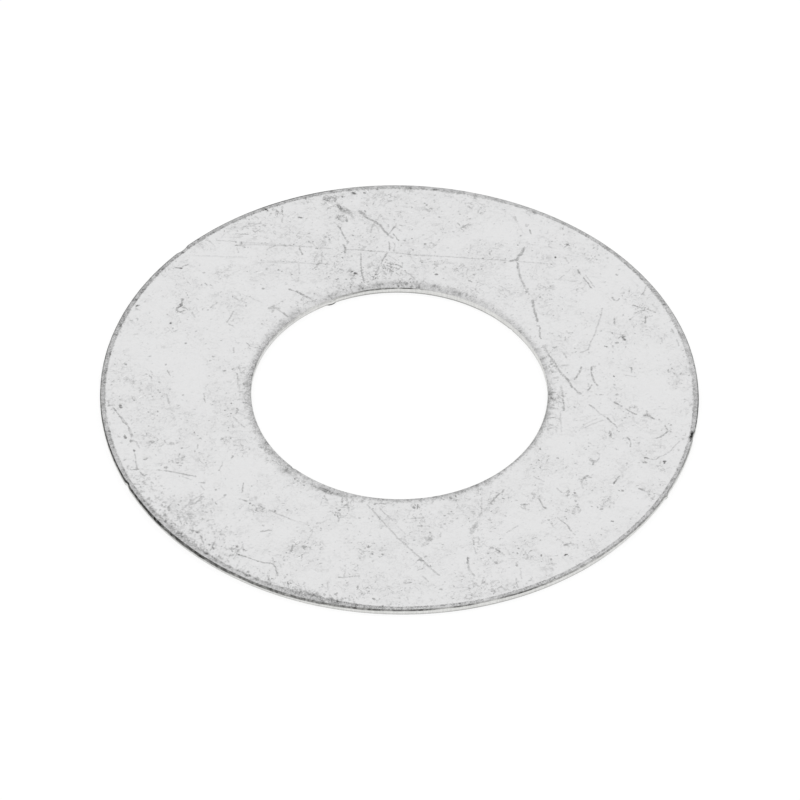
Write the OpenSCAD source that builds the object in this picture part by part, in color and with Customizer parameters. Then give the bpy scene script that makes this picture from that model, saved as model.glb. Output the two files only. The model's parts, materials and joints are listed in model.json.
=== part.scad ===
// Cover ring: a flat ring blanked and pierced from sheet metal in one stroke.
// Both cuts draw their edge down on the top face, run straight for a short bright land
// and tear off at the bottom face, so the sheet's full size is found only on the lands.
// The ring lies flat: its axis is Z, and its bottom face is on Z = 0.

/* [Ring] */
// Outside diameter, measured on the land of the rim
outer_d = 42; // [34:0.5:60]
// Hole diameter, measured on the land of the hole
hole_d = 20.7; // [12:0.1:26]
// Thickness of the sheet
sheet_t = 0.5; // [0.4:0.05:1]

/* [Sheared edges] */
// Width of the drawn-down shoulder along the rim
rim_roll_w = 0.34; // [0.2:0.02:0.6]
// Slope in degrees at which the rim's shoulder turns over into its cut
rim_roll_slope = 18; // [6:1:24]
// Radius of the turn from the rim's shoulder into its cut
rim_turn_r = 0.06; // [0.02:0.01:0.1]
// Width of the drawn-down shoulder round the hole
hole_roll_w = 0.42; // [0.2:0.02:0.6]
// Slope in degrees at which the hole's shoulder turns over into its cut
hole_roll_slope = 6; // [4:1:24]
// Radius of the turn from the hole's shoulder into its cut
hole_turn_r = 0.03; // [0.02:0.01:0.1]
// Height of the torn foot of each cut
tear_h = 0.14; // [0.06:0.02:0.16]
// How far the torn foot draws back from its land
tear_back = 0.02; // [0.01:0.01:0.05]

/* [Hidden] */
// Sides of the turned surfaces as drawn on screen
turned_sides = 180;
// Straight steps that draw one arc of the section
arc_steps = 6;

// Radius of the gentle arc that makes a shoulder
function shoulder_r(roll_w, slope, turn_r) = turn_r + (roll_w - turn_r) / sin(slope);

// Depth below the top face at which a cut's land begins
function roll_depth(roll_w, slope, turn_r) =
    let (big_r = shoulder_r(roll_w, slope, turn_r))
    big_r - (big_r - turn_r) * cos(slope);

// Points on an arc, without its first one
function arc(centre, radius, from, to) =
    [for (i = [1 : arc_steps]) let (a = from + (to - from) * i / arc_steps)
        centre + radius * [cos(a), sin(a)]];

// One sheared edge from foot to top face, with its land on X = 0 and the metal on the side of -X
function sheared_edge(roll_w, slope, turn_r) =
    let (big_r = shoulder_r(roll_w, slope, turn_r),
         turn_centre = [-turn_r, sheet_t - roll_depth(roll_w, slope, turn_r)],
         shoulder_centre = [-roll_w, sheet_t - big_r])
    concat(
        [[-tear_back, 0], [0, tear_h], [0, turn_centre[1]]],
        arc(turn_centre, turn_r, 0, 90 - slope),
        arc(shoulder_centre, big_r, 90 - slope, 90));

// Half section of the ring: the rim's edge going up, then the hole's edge coming down
module section() {
    rim_edge = sheared_edge(rim_roll_w, rim_roll_slope, rim_turn_r);
    hole_edge = sheared_edge(hole_roll_w, hole_roll_slope, hole_turn_r);
    rim = [for (p = rim_edge) [outer_d / 2 + p[0], p[1]]];
    hole = [for (p = hole_edge) [hole_d / 2 - p[0], p[1]]];
    polygon(concat(rim, [for (i = [len(hole) - 1 : -1 : 0]) hole[i]]));
}

module cover_ring() {
    color([0.76, 0.76, 0.77])
        rotate_extrude($fn = turned_sides)
            section();
}

cover_ring();
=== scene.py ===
import json
import math

import bpy
import numpy as np
from mathutils import Matrix, Vector


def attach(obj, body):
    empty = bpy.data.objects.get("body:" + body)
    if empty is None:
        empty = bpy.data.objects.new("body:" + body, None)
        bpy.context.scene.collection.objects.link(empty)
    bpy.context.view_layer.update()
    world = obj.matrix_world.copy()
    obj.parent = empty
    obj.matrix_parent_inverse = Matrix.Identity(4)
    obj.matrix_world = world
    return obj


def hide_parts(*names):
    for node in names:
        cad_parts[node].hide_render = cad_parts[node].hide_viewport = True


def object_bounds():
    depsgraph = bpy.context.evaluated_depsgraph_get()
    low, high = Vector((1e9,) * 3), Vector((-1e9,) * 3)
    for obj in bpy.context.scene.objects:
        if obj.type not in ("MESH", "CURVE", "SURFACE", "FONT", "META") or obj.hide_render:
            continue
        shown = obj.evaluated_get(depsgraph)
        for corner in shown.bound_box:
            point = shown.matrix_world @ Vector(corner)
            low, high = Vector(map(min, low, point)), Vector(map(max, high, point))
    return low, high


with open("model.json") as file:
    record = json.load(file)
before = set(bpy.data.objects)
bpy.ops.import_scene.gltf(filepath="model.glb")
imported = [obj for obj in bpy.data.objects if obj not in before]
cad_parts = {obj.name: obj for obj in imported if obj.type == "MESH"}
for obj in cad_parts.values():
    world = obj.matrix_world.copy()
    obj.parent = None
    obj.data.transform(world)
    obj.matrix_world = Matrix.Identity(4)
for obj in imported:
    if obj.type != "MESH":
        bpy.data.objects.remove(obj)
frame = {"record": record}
CAD_LOW, CAD_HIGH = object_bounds()

# Sizes of the ring in millimetres, as the part has them
MM = 0.001
MOUNTS = {mount["name"]: mount for mount in frame["record"]["mounts"]}
RIM_R = MOUNTS["rim"]["dims"]["r_mm"]
HOLE_R = MOUNTS["hole"]["dims"]["r_mm"]
SHEET_T = (CAD_HIGH.z - CAD_LOW.z) / MM
RIM_SHOULDER = {"width": 0.34, "slope": 18, "turn_r": 0.06}
HOLE_SHOULDER = {"width": 0.42, "slope": 6, "turn_r": 0.03}
TEAR_H = 0.14
TEAR_BACK = 0.02

# Where the camera stood, and where the middle of the ring falls in the picture
PICTURE_PX = 800
RING_MIDDLE_PX = (399.09, 397.01)
CAMERA_DISTANCE = 621.2
CAMERA_ELEVATION = 45.292
CAMERA_ROLL = 0.819
CAMERA_LENS = 398.9
CAMERA_SENSOR = 36.0
CAMERA_CLIP = (0.01, 20.0)

# Mesh of the ring: steps round it and across its face, and the coarse cells they split from
COARSE = 8
AROUND = 180 * COARSE
ACROSS = 18 * COARSE
UNDER_ROWS = 20
# Flat margin beside each shoulder that is meshed in rows, with the distances of its rows
MARGIN_ROWS = (0.56, 0.4, 0.26, 0.13, 0.0)
SHOULDER_STEPS = 3
TURN_STEPS = 3
# Kinds of faces
TOP, CUT, UNDER = 0, 1, 2

# How dark a mark is at its middle
FAINT = 0.13
PLAIN = 0.23
STRONG = 0.36
DEEP = 0.5
BLACK = 0.6
PITCH = 0.9
# A mark is drawn no narrower than this, and is paler instead
FINEST_MARK = 0.11
# Depth of a mark where its nearness and its darkness are both 1
GOUGE_DEPTH = 0.018
# Rim radius that the places of the marks were measured against
MARKS_RIM_R = 21.075

# Scratches: darkness, width, then the points along each one, seen from above with X right and Y far
FAR_SCRATCHES = [
    (DEEP, 0.3, -4.55, 18.75, -4.35, 18.45, -4.02, 18.2),
    (STRONG, 0.28, -4.1, 18.3, -3.8, 17.98),
    (PLAIN, 0.26, -3.85, 18.05, -3.5, 17.65),
    (PLAIN, 0.18, -4.3, 18.72, -3.85, 18.3, -3.6, 17.95),
    (PLAIN, 0.14, -4.45, 18.35, -4.2, 18.02),
    (FAINT, 0.16, -3.52, 17.81, -3.38, 17.39),
    (PLAIN, 0.12, -5.29, 18.51, -5.0, 18.65, -4.78, 18.7),
    (STRONG, 0.1, -4.85, 19.65, -4.74, 19.42, -4.8, 19.15),
    (PLAIN, 0.1, -5.6, 19.4, -5.4, 19.3, -5.45, 19.05),
    (STRONG, 0.12, -4.75, 17.38, -4.5, 17.67, -4.22, 17.72),
    (STRONG, 0.13, -3.99, 17.6, -3.92, 17.1),
    (STRONG, 0.12, -4.55, 16.62, -4.41, 16.46, -4.22, 15.9, -3.99, 15.38, -3.8, 15.06),
    (STRONG, 0.15, -4.17, 14.78, -3.99, 14.4, -4.03, 13.94),
    (STRONG, 0.24, -3.05, 18.25, -2.77, 17.92, -2.6, 17.65),
    (STRONG, 0.19, -2.6, 17.65, -1.93, 17.16, -1.56, 16.83, -1.28, 16.32, -0.9, 15.71, -0.67, 15.52),
    (PLAIN, 0.08, -1.95, 16.95, -1.56, 16.05),
    (PLAIN, 0.08, -1.5, 17.9, -1.74, 17.39, -1.88, 17.16),
    (PLAIN, 0.1, -2.07, 16.83, -2.21, 15.99),
    (STRONG, 0.12, -0.4, 16.72, -0.6, 16.5, -0.88, 15.95),
    (PLAIN, 0.07, -0.3, 16.5, -0.02, 16.18),
    (PLAIN, 0.08, -0.34, 16.95, -0.4, 16.55),
    (STRONG, 0.12, -0.58, 15.92, -0.2, 15.24),
    (STRONG, 0.1, -0.9, 15.1, -0.83, 14.2),
    (PLAIN, 0.12, -0.62, 15.06, -0.46, 14.75, -0.53, 14.12),
    (FAINT, 0.1, -11.6, 14.85, -9.5, 14.72, -7.0, 14.52, -6.3, 14.48),
    (PLAIN, 0.09, -5.76, 14.35, -5.0, 14.33),
    (PLAIN, 0.1, -3.95, 14.24, -2.9, 14.2, -1.28, 14.08, 0.0, 13.95, 0.78, 13.8, 2.92, 13.68, 6.0, 13.47),
    (PLAIN, 0.09, 6.0, 13.47, 8.2, 13.3, 9.2, 13.2, 11.0, 13.05),
    (FAINT, 0.1, 15.3, 13.0, 16.15, 13.05),
    (STRONG, 0.1, -2.86, 13.9, -2.85, 12.8, -2.82, 12.07, -2.68, 11.42, -2.56, 10.86),
    (STRONG, 0.12, -1.04, 13.9, -1.23, 13.38, -1.42, 12.91),
    (PLAIN, 0.09, -1.42, 12.91, -1.58, 12.4, -1.75, 11.8, -2.05, 11.1),
    (STRONG, 0.12, -0.39, 12.8, -0.06, 12.65, 0.12, 12.5),
    (STRONG, 0.12, -0.98, 12.66, -0.7, 12.6),
    (STRONG, 0.1, -0.75, 12.98, -0.68, 12.75),
    (PLAIN, 0.1, -0.55, 12.5, -0.2, 12.3),
    (PLAIN, 0.1, -1.0, 12.4, -0.6, 12.1),
    (PLAIN, 0.1, -1.3, 12.2, -1.05, 11.75),
    (PLAIN, 0.1, -0.3, 11.9, -0.05, 11.6),
    (PLAIN, 0.08, -0.9, 13.7, -0.25, 13.14),
    (PLAIN, 0.1, 0.08, 13.0, 0.12, 12.6),
    (PLAIN, 0.1, 0.26, 12.16, 0.59, 11.79, 0.96, 11.37),
    (PLAIN, 0.08, 4.0, 12.3, 4.5, 12.8),
    (PLAIN, 0.07, 2.5, 12.98, 4.04, 13.02),
    (FAINT, 0.1, 0.54, 12.25, 1.7, 12.2),
    (BLACK, 0.12, -7.4, 17.5, -7.1, 17.46),
    (PLAIN, 0.08, -6.6, 15.05, -6.3, 14.75, -5.95, 14.25),
    (STRONG, 0.12, -7.25, 14.6, -7.2, 14.1, -7.05, 13.72),
    (PLAIN, 0.12, -5.95, 13.85, -6.15, 13.3, -6.2, 12.95),
    (PLAIN, 0.11, -5.62, 13.95, -5.67, 12.95),
    (PLAIN, 0.13, -5.85, 12.8, -6.04, 12.44, -6.3, 12.16),
    (PLAIN, 0.08, -8.0, 12.9, -7.25, 12.82, -5.57, 12.77, -5.0, 12.72),
    (PLAIN, 0.1, 5.43, 18.2, 5.55, 18.6, 5.9, 18.9),
    (STRONG, 0.12, 4.35, 16.75, 4.79, 17.05),
    (STRONG, 0.1, 4.02, 17.12, 4.12, 16.9),
    (PLAIN, 0.12, 4.72, 16.8, 4.98, 16.98),
    (PLAIN, 0.07, 1.28, 18.6, 1.3, 18.2),
    (PLAIN, 0.07, 4.95, 15.0, 4.92, 14.3),
    (STRONG, 0.17, -7.95, 10.15, -7.4, 9.88, -6.85, 9.5, -6.4, 9.2),
    (PLAIN, 0.12, -6.4, 9.2, -6.05, 8.9),
]
FAR_LEFT_SCRATCHES = [
    (PITCH, 0.15, -9.85, 18.38, -9.6, 18.12),
    (STRONG, 0.1, -8.6, 18.3, -8.55, 17.65),
    (PLAIN, 0.1, -10.96, 16.76, -10.0, 16.8),
    (PLAIN, 0.08, -11.25, 16.47, -10.4, 16.5),
    (PLAIN, 0.08, -12.55, 16.2, -12.0, 16.25),
    (PLAIN, 0.1, -10.65, 16.1, -10.45, 15.88, -10.1, 16.2),
    (STRONG, 0.09, -11.55, 15.65, -10.95, 15.65),
    (STRONG, 0.12, -11.45, 14.85, -11.4, 14.55, -11.15, 14.3),
    (STRONG, 0.1, -11.85, 14.52, -11.25, 14.52),
    (PLAIN, 0.1, -11.75, 14.25, -11.6, 13.8),
    (PLAIN, 0.1, -9.1, 14.5, -9.6, 14.1),
    (FAINT, 0.1, -9.05, 18.0, -9.1, 15.0),
    (STRONG, 0.12, -16.2, 12.2, -15.7, 12.07, -15.5, 12.35, -15.2, 12.5),
    (FAINT, 0.1, -14.5, 13.4, -11.0, 13.3),
    (FAINT, 0.09, -13.0, 15.35, -11.5, 15.32),
    (PLAIN, 0.08, -9.95, 12.95, -8.0, 12.97),
    (FAINT, 0.08, -9.5, 11.73, -8.6, 11.72),
    (PLAIN, 0.08, -7.25, 12.8, -7.25, 11.75),
    (PLAIN, 0.08, -7.3, 11.35, -7.3, 10.95),
    (FAINT, 0.1, -12.05, 9.7, -11.5, 9.0),
    (PLAIN, 0.2, -9.32, 8.16, -8.97, 8.28, -8.67, 8.12),
    (PLAIN, 0.18, -8.97, 8.48, -9.07, 7.87),
    (PLAIN, 0.12, -8.97, 8.28, -8.42, 8.93),
    (PLAIN, 0.15, -8.67, 8.12, -8.37, 7.77, -8.02, 7.42),
    (STRONG, 0.13, -8.27, 7.62, -7.97, 7.37),
    (FAINT, 0.12, -11.84, 9.88, -10.64, 9.23, -9.88, 8.78),
    (PLAIN, 0.1, -13.24, 15.0, -11.84, 14.9),
    (PLAIN, 0.1, -11.24, 14.6, -9.63, 14.6, -8.03, 14.55, -6.42, 14.45),
    (FAINT, 0.1, -15.05, 13.4, -13.05, 13.4),
    (FAINT, 0.1, -10.24, 12.8, -7.93, 12.8),
    (PLAIN, 0.1, -11.34, 16.41, -10.64, 16.61, -10.24, 16.81),
    (PLAIN, 0.1, -11.94, 16.66, -11.44, 16.81),
    (PLAIN, 0.1, -8.53, 17.36, -8.58, 16.96),
]
LEFT_SCRATCHES = [
    (STRONG, 0.18, -15.5, 9.0, -15.55, 8.33),
    (STRONG, 0.14, -15.9, 7.92, -15.75, 7.7, -15.5, 7.67, -15.33, 7.83),
    (STRONG, 0.12, -15.55, 8.3, -15.85, 8.05),
    (PLAIN, 0.12, -15.33, 8.12, -15.0, 7.87),
    (PLAIN, 0.12, -14.75, 7.67, -14.58, 7.2),
    (PLAIN, 0.14, -13.0, 8.7, -13.42, 8.17),
    (STRONG, 0.1, -11.83, 7.83, -12.0, 7.25, -12.17, 6.92, -12.25, 6.7),
    (PLAIN, 0.12, -12.17, 6.54, -11.83, 6.33),
    (PLAIN, 0.1, -11.8, 9.2, -11.4, 8.85, -11.2, 9.2),
    (PLAIN, 0.12, -18.85, 5.37, -18.55, 5.36),
    (PLAIN, 0.12, -11.75, 4.17, -11.7, 3.7),
    (STRONG, 0.12, -10.8, 4.62, -10.58, 4.37),
    (PLAIN, 0.12, -17.54, 1.75, -17.42, 1.58),
    (STRONG, 0.1, -17.6, 1.3, -17.42, 1.0),
    (STRONG, 0.1, -16.37, 1.87, -16.12, 1.3),
    (STRONG, 0.13, -18.75, -0.96, -18.58, -1.25),
    (FAINT, 0.08, -19.83, -1.08, -18.9, -1.1),
    (STRONG, 0.12, -20.5, -1.3, -20.3, -1.75),
    (PLAIN, 0.1, -16.37, -0.5, -16.17, -1.25),
    (STRONG, 0.09, -13.73, -0.42, -13.67, -1.0, -13.58, -1.33),
    (PLAIN, 0.1, -13.05, -1.2, -12.8, -1.2),
    (PLAIN, 0.1, -11.42, 2.33, -11.08, 1.75, -11.08, 1.33),
    (STRONG, 0.08, -11.42, 1.58, -11.3, 0.5, -11.25, -1.0),
    (PLAIN, 0.07, -11.17, 0.5, -11.12, -1.0),
]
NEAR_LEFT_SCRATCHES = [
    (STRONG, 0.12, -20.2, -1.85, -19.87, -2.25, -19.33, -3.33, -19.0, -3.67, -18.75, -4.25, -18.58, -4.75),
    (STRONG, 0.09, -19.5, -2.85, -19.05, -3.5, -18.83, -4.33, -18.67, -4.8),
    (PLAIN, 0.1, -18.58, -5.1, -18.3, -5.33, -18.08, -5.9),
    (PLAIN, 0.11, -18.42, -6.4, -18.3, -7.33, -18.17, -7.83),
    (STRONG, 0.15, -17.5, -6.87, -17.75, -7.0),
    (STRONG, 0.12, -18.9, -7.96, -18.1, -7.96),
    (FAINT, 0.1, -18.1, -7.96, -16.67, -8.0),
    (STRONG, 0.11, -16.67, -8.0, -16.1, -8.05, -15.5, -8.17, -14.83, -8.37, -14.33, -8.5, -14.08, -8.55),
    (PLAIN, 0.08, -14.83, -8.37, -15.0, -8.6, -14.4, -8.9),
    (STRONG, 0.12, -17.96, -8.25, -17.75, -8.58, -17.5, -8.46),
    (PLAIN, 0.12, -14.92, -6.58, -15.08, -7.0),
    (PLAIN, 0.1, -15.4, -7.5, -15.1, -7.5),
    (PLAIN, 0.15, -17.37, -5.25, -17.08, -5.2),
    (PLAIN, 0.13, -16.37, -5.12, -16.17, -5.46),
    (PLAIN, 0.1, -17.75, -4.68, -17.3, -4.67),
    (PLAIN, 0.12, -14.0, -5.5, -14.04, -5.83),
    (PLAIN, 0.1, -11.62, -3.4, -11.62, -3.7),
    (PLAIN, 0.1, -12.25, -7.17, -12.33, -7.58, -12.54, -7.96),
    (PLAIN, 0.1, -11.58, -2.67, -11.25, -3.17, -10.75, -3.67),
    (PLAIN, 0.1, -11.08, -4.87, -10.67, -4.92),
    (STRONG, 0.12, -13.8, -9.17, -13.4, -9.17),
    (PLAIN, 0.1, -13.7, -9.42, -13.46, -9.83),
    (STRONG, 0.1, -10.75, -9.17, -10.83, -10.0),
    (PLAIN, 0.1, -13.46, -10.46, -13.7, -10.83, -13.96, -11.17),
    (PLAIN, 0.08, -14.2, -10.9, -14.5, -11.5),
    (FAINT, 0.1, -13.0, -11.0, -13.5, -11.9, -13.8, -12.6),
    (PLAIN, 0.08, -14.6, -12.0, -14.3, -12.9),
    (PLAIN, 0.08, -14.9, -12.3, -14.6, -13.2),
    (PLAIN, 0.08, -15.2, -12.4, -15.0, -13.1),
    (FAINT, 0.1, -14.0, -12.2, -14.1, -13.2),
    (PLAIN, 0.08, -15.5, -10.9, -15.9, -11.6),
    (PLAIN, 0.1, -13.62, -10.5, -13.92, -11.0),
    (PLAIN, 0.1, -12.83, -10.65, -12.83, -10.95),
    (STRONG, 0.16, -10.92, -10.7, -10.46, -10.87),
    (PLAIN, 0.1, -17.2, -9.92, -16.85, -9.92),
    (PLAIN, 0.1, -13.0, -12.75, -12.7, -12.75),
    (FAINT, 0.1, -13.8, -12.17, -13.0, -11.33, -12.0, -10.5),
    (STRONG, 0.2, -15.92, -11.58, -15.83, -11.83),
    (PLAIN, 0.12, -7.2, -15.0, -7.3, -15.6),
    (STRONG, 0.12, -9.4, -13.8, -8.7, -13.62),
    (PLAIN, 0.1, -5.58, -12.87, -5.1, -12.8),
    (PLAIN, 0.1, -8.9, -11.7, -8.3, -12.08, -7.64, -12.4, -7.26, -12.64),
    (FAINT, 0.1, -7.26, -12.64, -6.05, -13.0),
    (FAINT, 0.12, -6.05, -13.35, -5.86, -13.67, -6.0, -14.2, -6.14, -14.6),
    (PLAIN, 0.1, -11.05, -15.95, -11.56, -15.44),
    (PLAIN, 0.1, -11.05, -15.95, -11.12, -15.2),
    (PLAIN, 0.1, -10.95, -15.8, -10.7, -15.3),
    (STRONG, 0.12, -11.0, -15.7, -10.85, -15.5),
    (PLAIN, 0.1, -11.05, -15.95, -11.3, -16.5),
    (PLAIN, 0.1, -10.67, -15.0, -10.62, -15.7),
    (STRONG, 0.11, -11.05, -15.95, -10.35, -16.28, -9.7, -16.56, -9.13, -16.8, -8.6, -16.82),
    (STRONG, 0.1, -8.6, -16.82, -8.38, -17.12, -8.3, -17.6, -8.2, -17.96),
    (PLAIN, 0.09, -8.57, -16.28, -8.48, -16.84),
    (STRONG, 0.13, -12.63, -14.98, -12.77, -15.26, -12.68, -15.54),
    (STRONG, 0.12, -13.6, -14.3, -13.38, -15.07),
    (STRONG, 0.1, -8.8, -18.2, -8.9, -18.8),
    (PLAIN, 0.08, -4.74, -18.5, -4.7, -19.27),
    (PLAIN, 0.1, -6.56, -16.05, -6.56, -16.35),
    (PLAIN, 0.08, -15.25, -12.1, -14.4, -11.1, -13.5, -10.15),
    (PLAIN, 0.08, -14.85, -12.3, -14.1, -11.35),
    (FAINT, 0.1, -14.2, -12.3, -13.1, -11.3, -12.0, -10.5),
    (FAINT, 0.1, -15.0, -13.6, -14.6, -12.7, -14.5, -12.0),
]
NEAR_SCRATCHES = [
    (PLAIN, 0.12, -2.1, -11.0, -1.36, -12.08, -0.8, -13.0),
    (PLAIN, 0.13, -0.8, -13.0, 0.04, -14.18, 0.79, -15.07, 1.54, -16.0, 2.0, -16.66, 2.94, -17.73),
    (STRONG, 0.1, 1.8, -17.08, 1.45, -17.26),
    (PLAIN, 0.12, -1.27, -11.24, -0.9, -11.8, -0.33, -12.55),
    (FAINT, 0.1, -0.05, -13.0, 0.6, -13.86),
    (PLAIN, 0.1, 1.8, -17.82, 2.2, -18.34),
    (STRONG, 0.1, 0.5, -18.52, 1.02, -18.43),
    (STRONG, 0.1, -3.97, -18.0, -3.69, -18.06, -2.53, -17.87),
    (PLAIN, 0.09, -3.55, -17.5, -3.65, -18.06),
    (FAINT, 0.22, 2.45, -14.0, 2.19, -14.4, 1.9, -14.8, 1.77, -14.97),
    (PLAIN, 0.12, 2.33, -14.1, 2.05, -14.45),
    (PLAIN, 0.12, 3.03, -13.67, 2.98, -14.04),
    (STRONG, 0.12, 7.37, -9.42, 6.95, -9.98, 6.44, -10.73),
    (PLAIN, 0.32, 5.5, -12.75, 5.27, -13.1, 5.13, -13.58),
    (STRONG, 0.14, 5.55, -12.73, 5.27, -13.1),
    (PLAIN, 0.18, 5.5, -13.05, 5.05, -13.25),
    (PLAIN, 0.09, 5.83, -10.2, 5.83, -11.7, 5.55, -12.08),
    (STRONG, 0.1, 5.6, -9.28, 5.55, -9.84),
    (STRONG, 0.1, 5.32, -14.4, 5.32, -14.8),
    (PLAIN, 0.1, 5.69, -14.2, 5.64, -14.7),
    (PLAIN, 0.1, 5.3, -15.0, 5.5, -15.7),
    (DEEP, 0.12, 4.86, -15.95, 4.86, -16.55),
    (PLAIN, 0.16, 4.92, -16.0, 4.9, -16.47, 4.94, -16.94, 5.08, -17.26, 5.36, -17.73),
    (STRONG, 0.12, 6.5, -15.0, 6.75, -15.04),
    (PLAIN, 0.1, 7.23, -15.44, 7.42, -15.7),
    (PLAIN, 0.1, 8.35, -12.83, 7.6, -13.53),
    (PLAIN, 0.14, 1.05, -12.3, 1.8, -12.23),
    (STRONG, 0.1, 1.42, -13.03, 1.74, -13.03),
    (PLAIN, 0.1, 3.5, -11.8, 3.86, -11.8),
    (DEEP, 0.12, 1.4, -10.95, 1.38, -11.35),
    (STRONG, 0.14, -1.6, -10.92, -0.6, -10.85),
    (STRONG, 0.1, -4.2, -12.08, -4.02, -12.45, -4.07, -12.73),
    (PLAIN, 0.1, -3.46, -10.9, -3.37, -11.7),
    (PLAIN, 0.1, -3.5, -11.0, -3.8, -11.33),
    (STRONG, 0.1, 8.26, -17.87, 8.35, -18.9),
    (STRONG, 0.12, 8.26, -16.4, 8.3, -16.75),
    (PLAIN, 0.08, 8.54, -16.94, 8.63, -17.96),
    (PLAIN, 0.08, 4.1, -17.8, 4.65, -17.76),
    (PLAIN, 0.12, -5.08, -10.24, -4.88, -10.67),
    (STRONG, 0.12, -3.78, -10.36, -3.86, -10.84),
    (PLAIN, 0.12, -3.54, -10.31, -3.41, -10.98),
    (PLAIN, 0.12, -3.09, -10.49, -3.26, -10.88),
    (PLAIN, 0.14, -5.95, -9.2, -5.67, -9.34, -5.25, -9.57, -4.97, -9.76, -4.62, -9.89),
    (PLAIN, 0.14, -4.62, -9.89, -4.27, -10.03, -3.92, -10.17, -3.44, -10.21),
]
NEAR_RIGHT_SCRATCHES = [
    (STRONG, 0.12, 8.55, -10.83, 8.95, -10.78),
    (PLAIN, 0.12, 8.6, -11.15, 9.1, -11.3),
    (STRONG, 0.12, 9.8, -10.24, 10.03, -10.7, 10.13, -11.0, 10.36, -11.22),
    (PLAIN, 0.12, 11.1, -12.0, 11.35, -12.3),
    (STRONG, 0.12, 11.35, -12.3, 11.86, -12.9, 12.05, -13.25),
    (PLAIN, 0.1, 12.05, -13.25, 12.3, -13.7),
    (STRONG, 0.12, 16.8, -9.12, 17.2, -9.35),
    (PLAIN, 0.1, 17.4, -9.45, 17.5, -9.87),
    (PLAIN, 0.1, 11.06, -9.2, 11.4, -9.6),
    (STRONG, 0.16, 11.58, -14.68, 12.0, -14.44),
    (PLAIN, 0.1, 11.85, -13.98, 12.15, -13.98),
    (PLAIN, 0.1, 12.5, -14.6, 12.5, -14.95),
    (FAINT, 0.12, 9.0, -16.0, 9.43, -15.7),
    (FAINT, 0.25, 10.6, -16.8, 10.7, -17.06),
    (STRONG, 0.12, 9.08, -18.13, 9.38, -18.1),
    (PLAIN, 0.1, 9.46, -8.08, 10.17, -8.58),
    (STRONG, 0.18, 13.17, -7.96, 12.83, -8.33, 12.75, -8.58),
    (PLAIN, 0.13, 12.75, -8.58, 12.88, -9.2),
    (PLAIN, 0.11, 12.38, -10.9, 12.6, -11.02, 12.7, -11.28, 12.58, -11.55),
    (PLAIN, 0.12, 13.17, -7.96, 13.42, -8.17),
    (STRONG, 0.12, 15.42, -7.92, 15.12, -8.5),
    (PLAIN, 0.1, 15.67, -7.8, 15.67, -8.1),
    (STRONG, 0.15, 13.37, -6.4, 13.67, -6.5, 13.58, -6.87),
    (PLAIN, 0.12, 13.75, -6.67, 14.04, -6.17),
]
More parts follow.
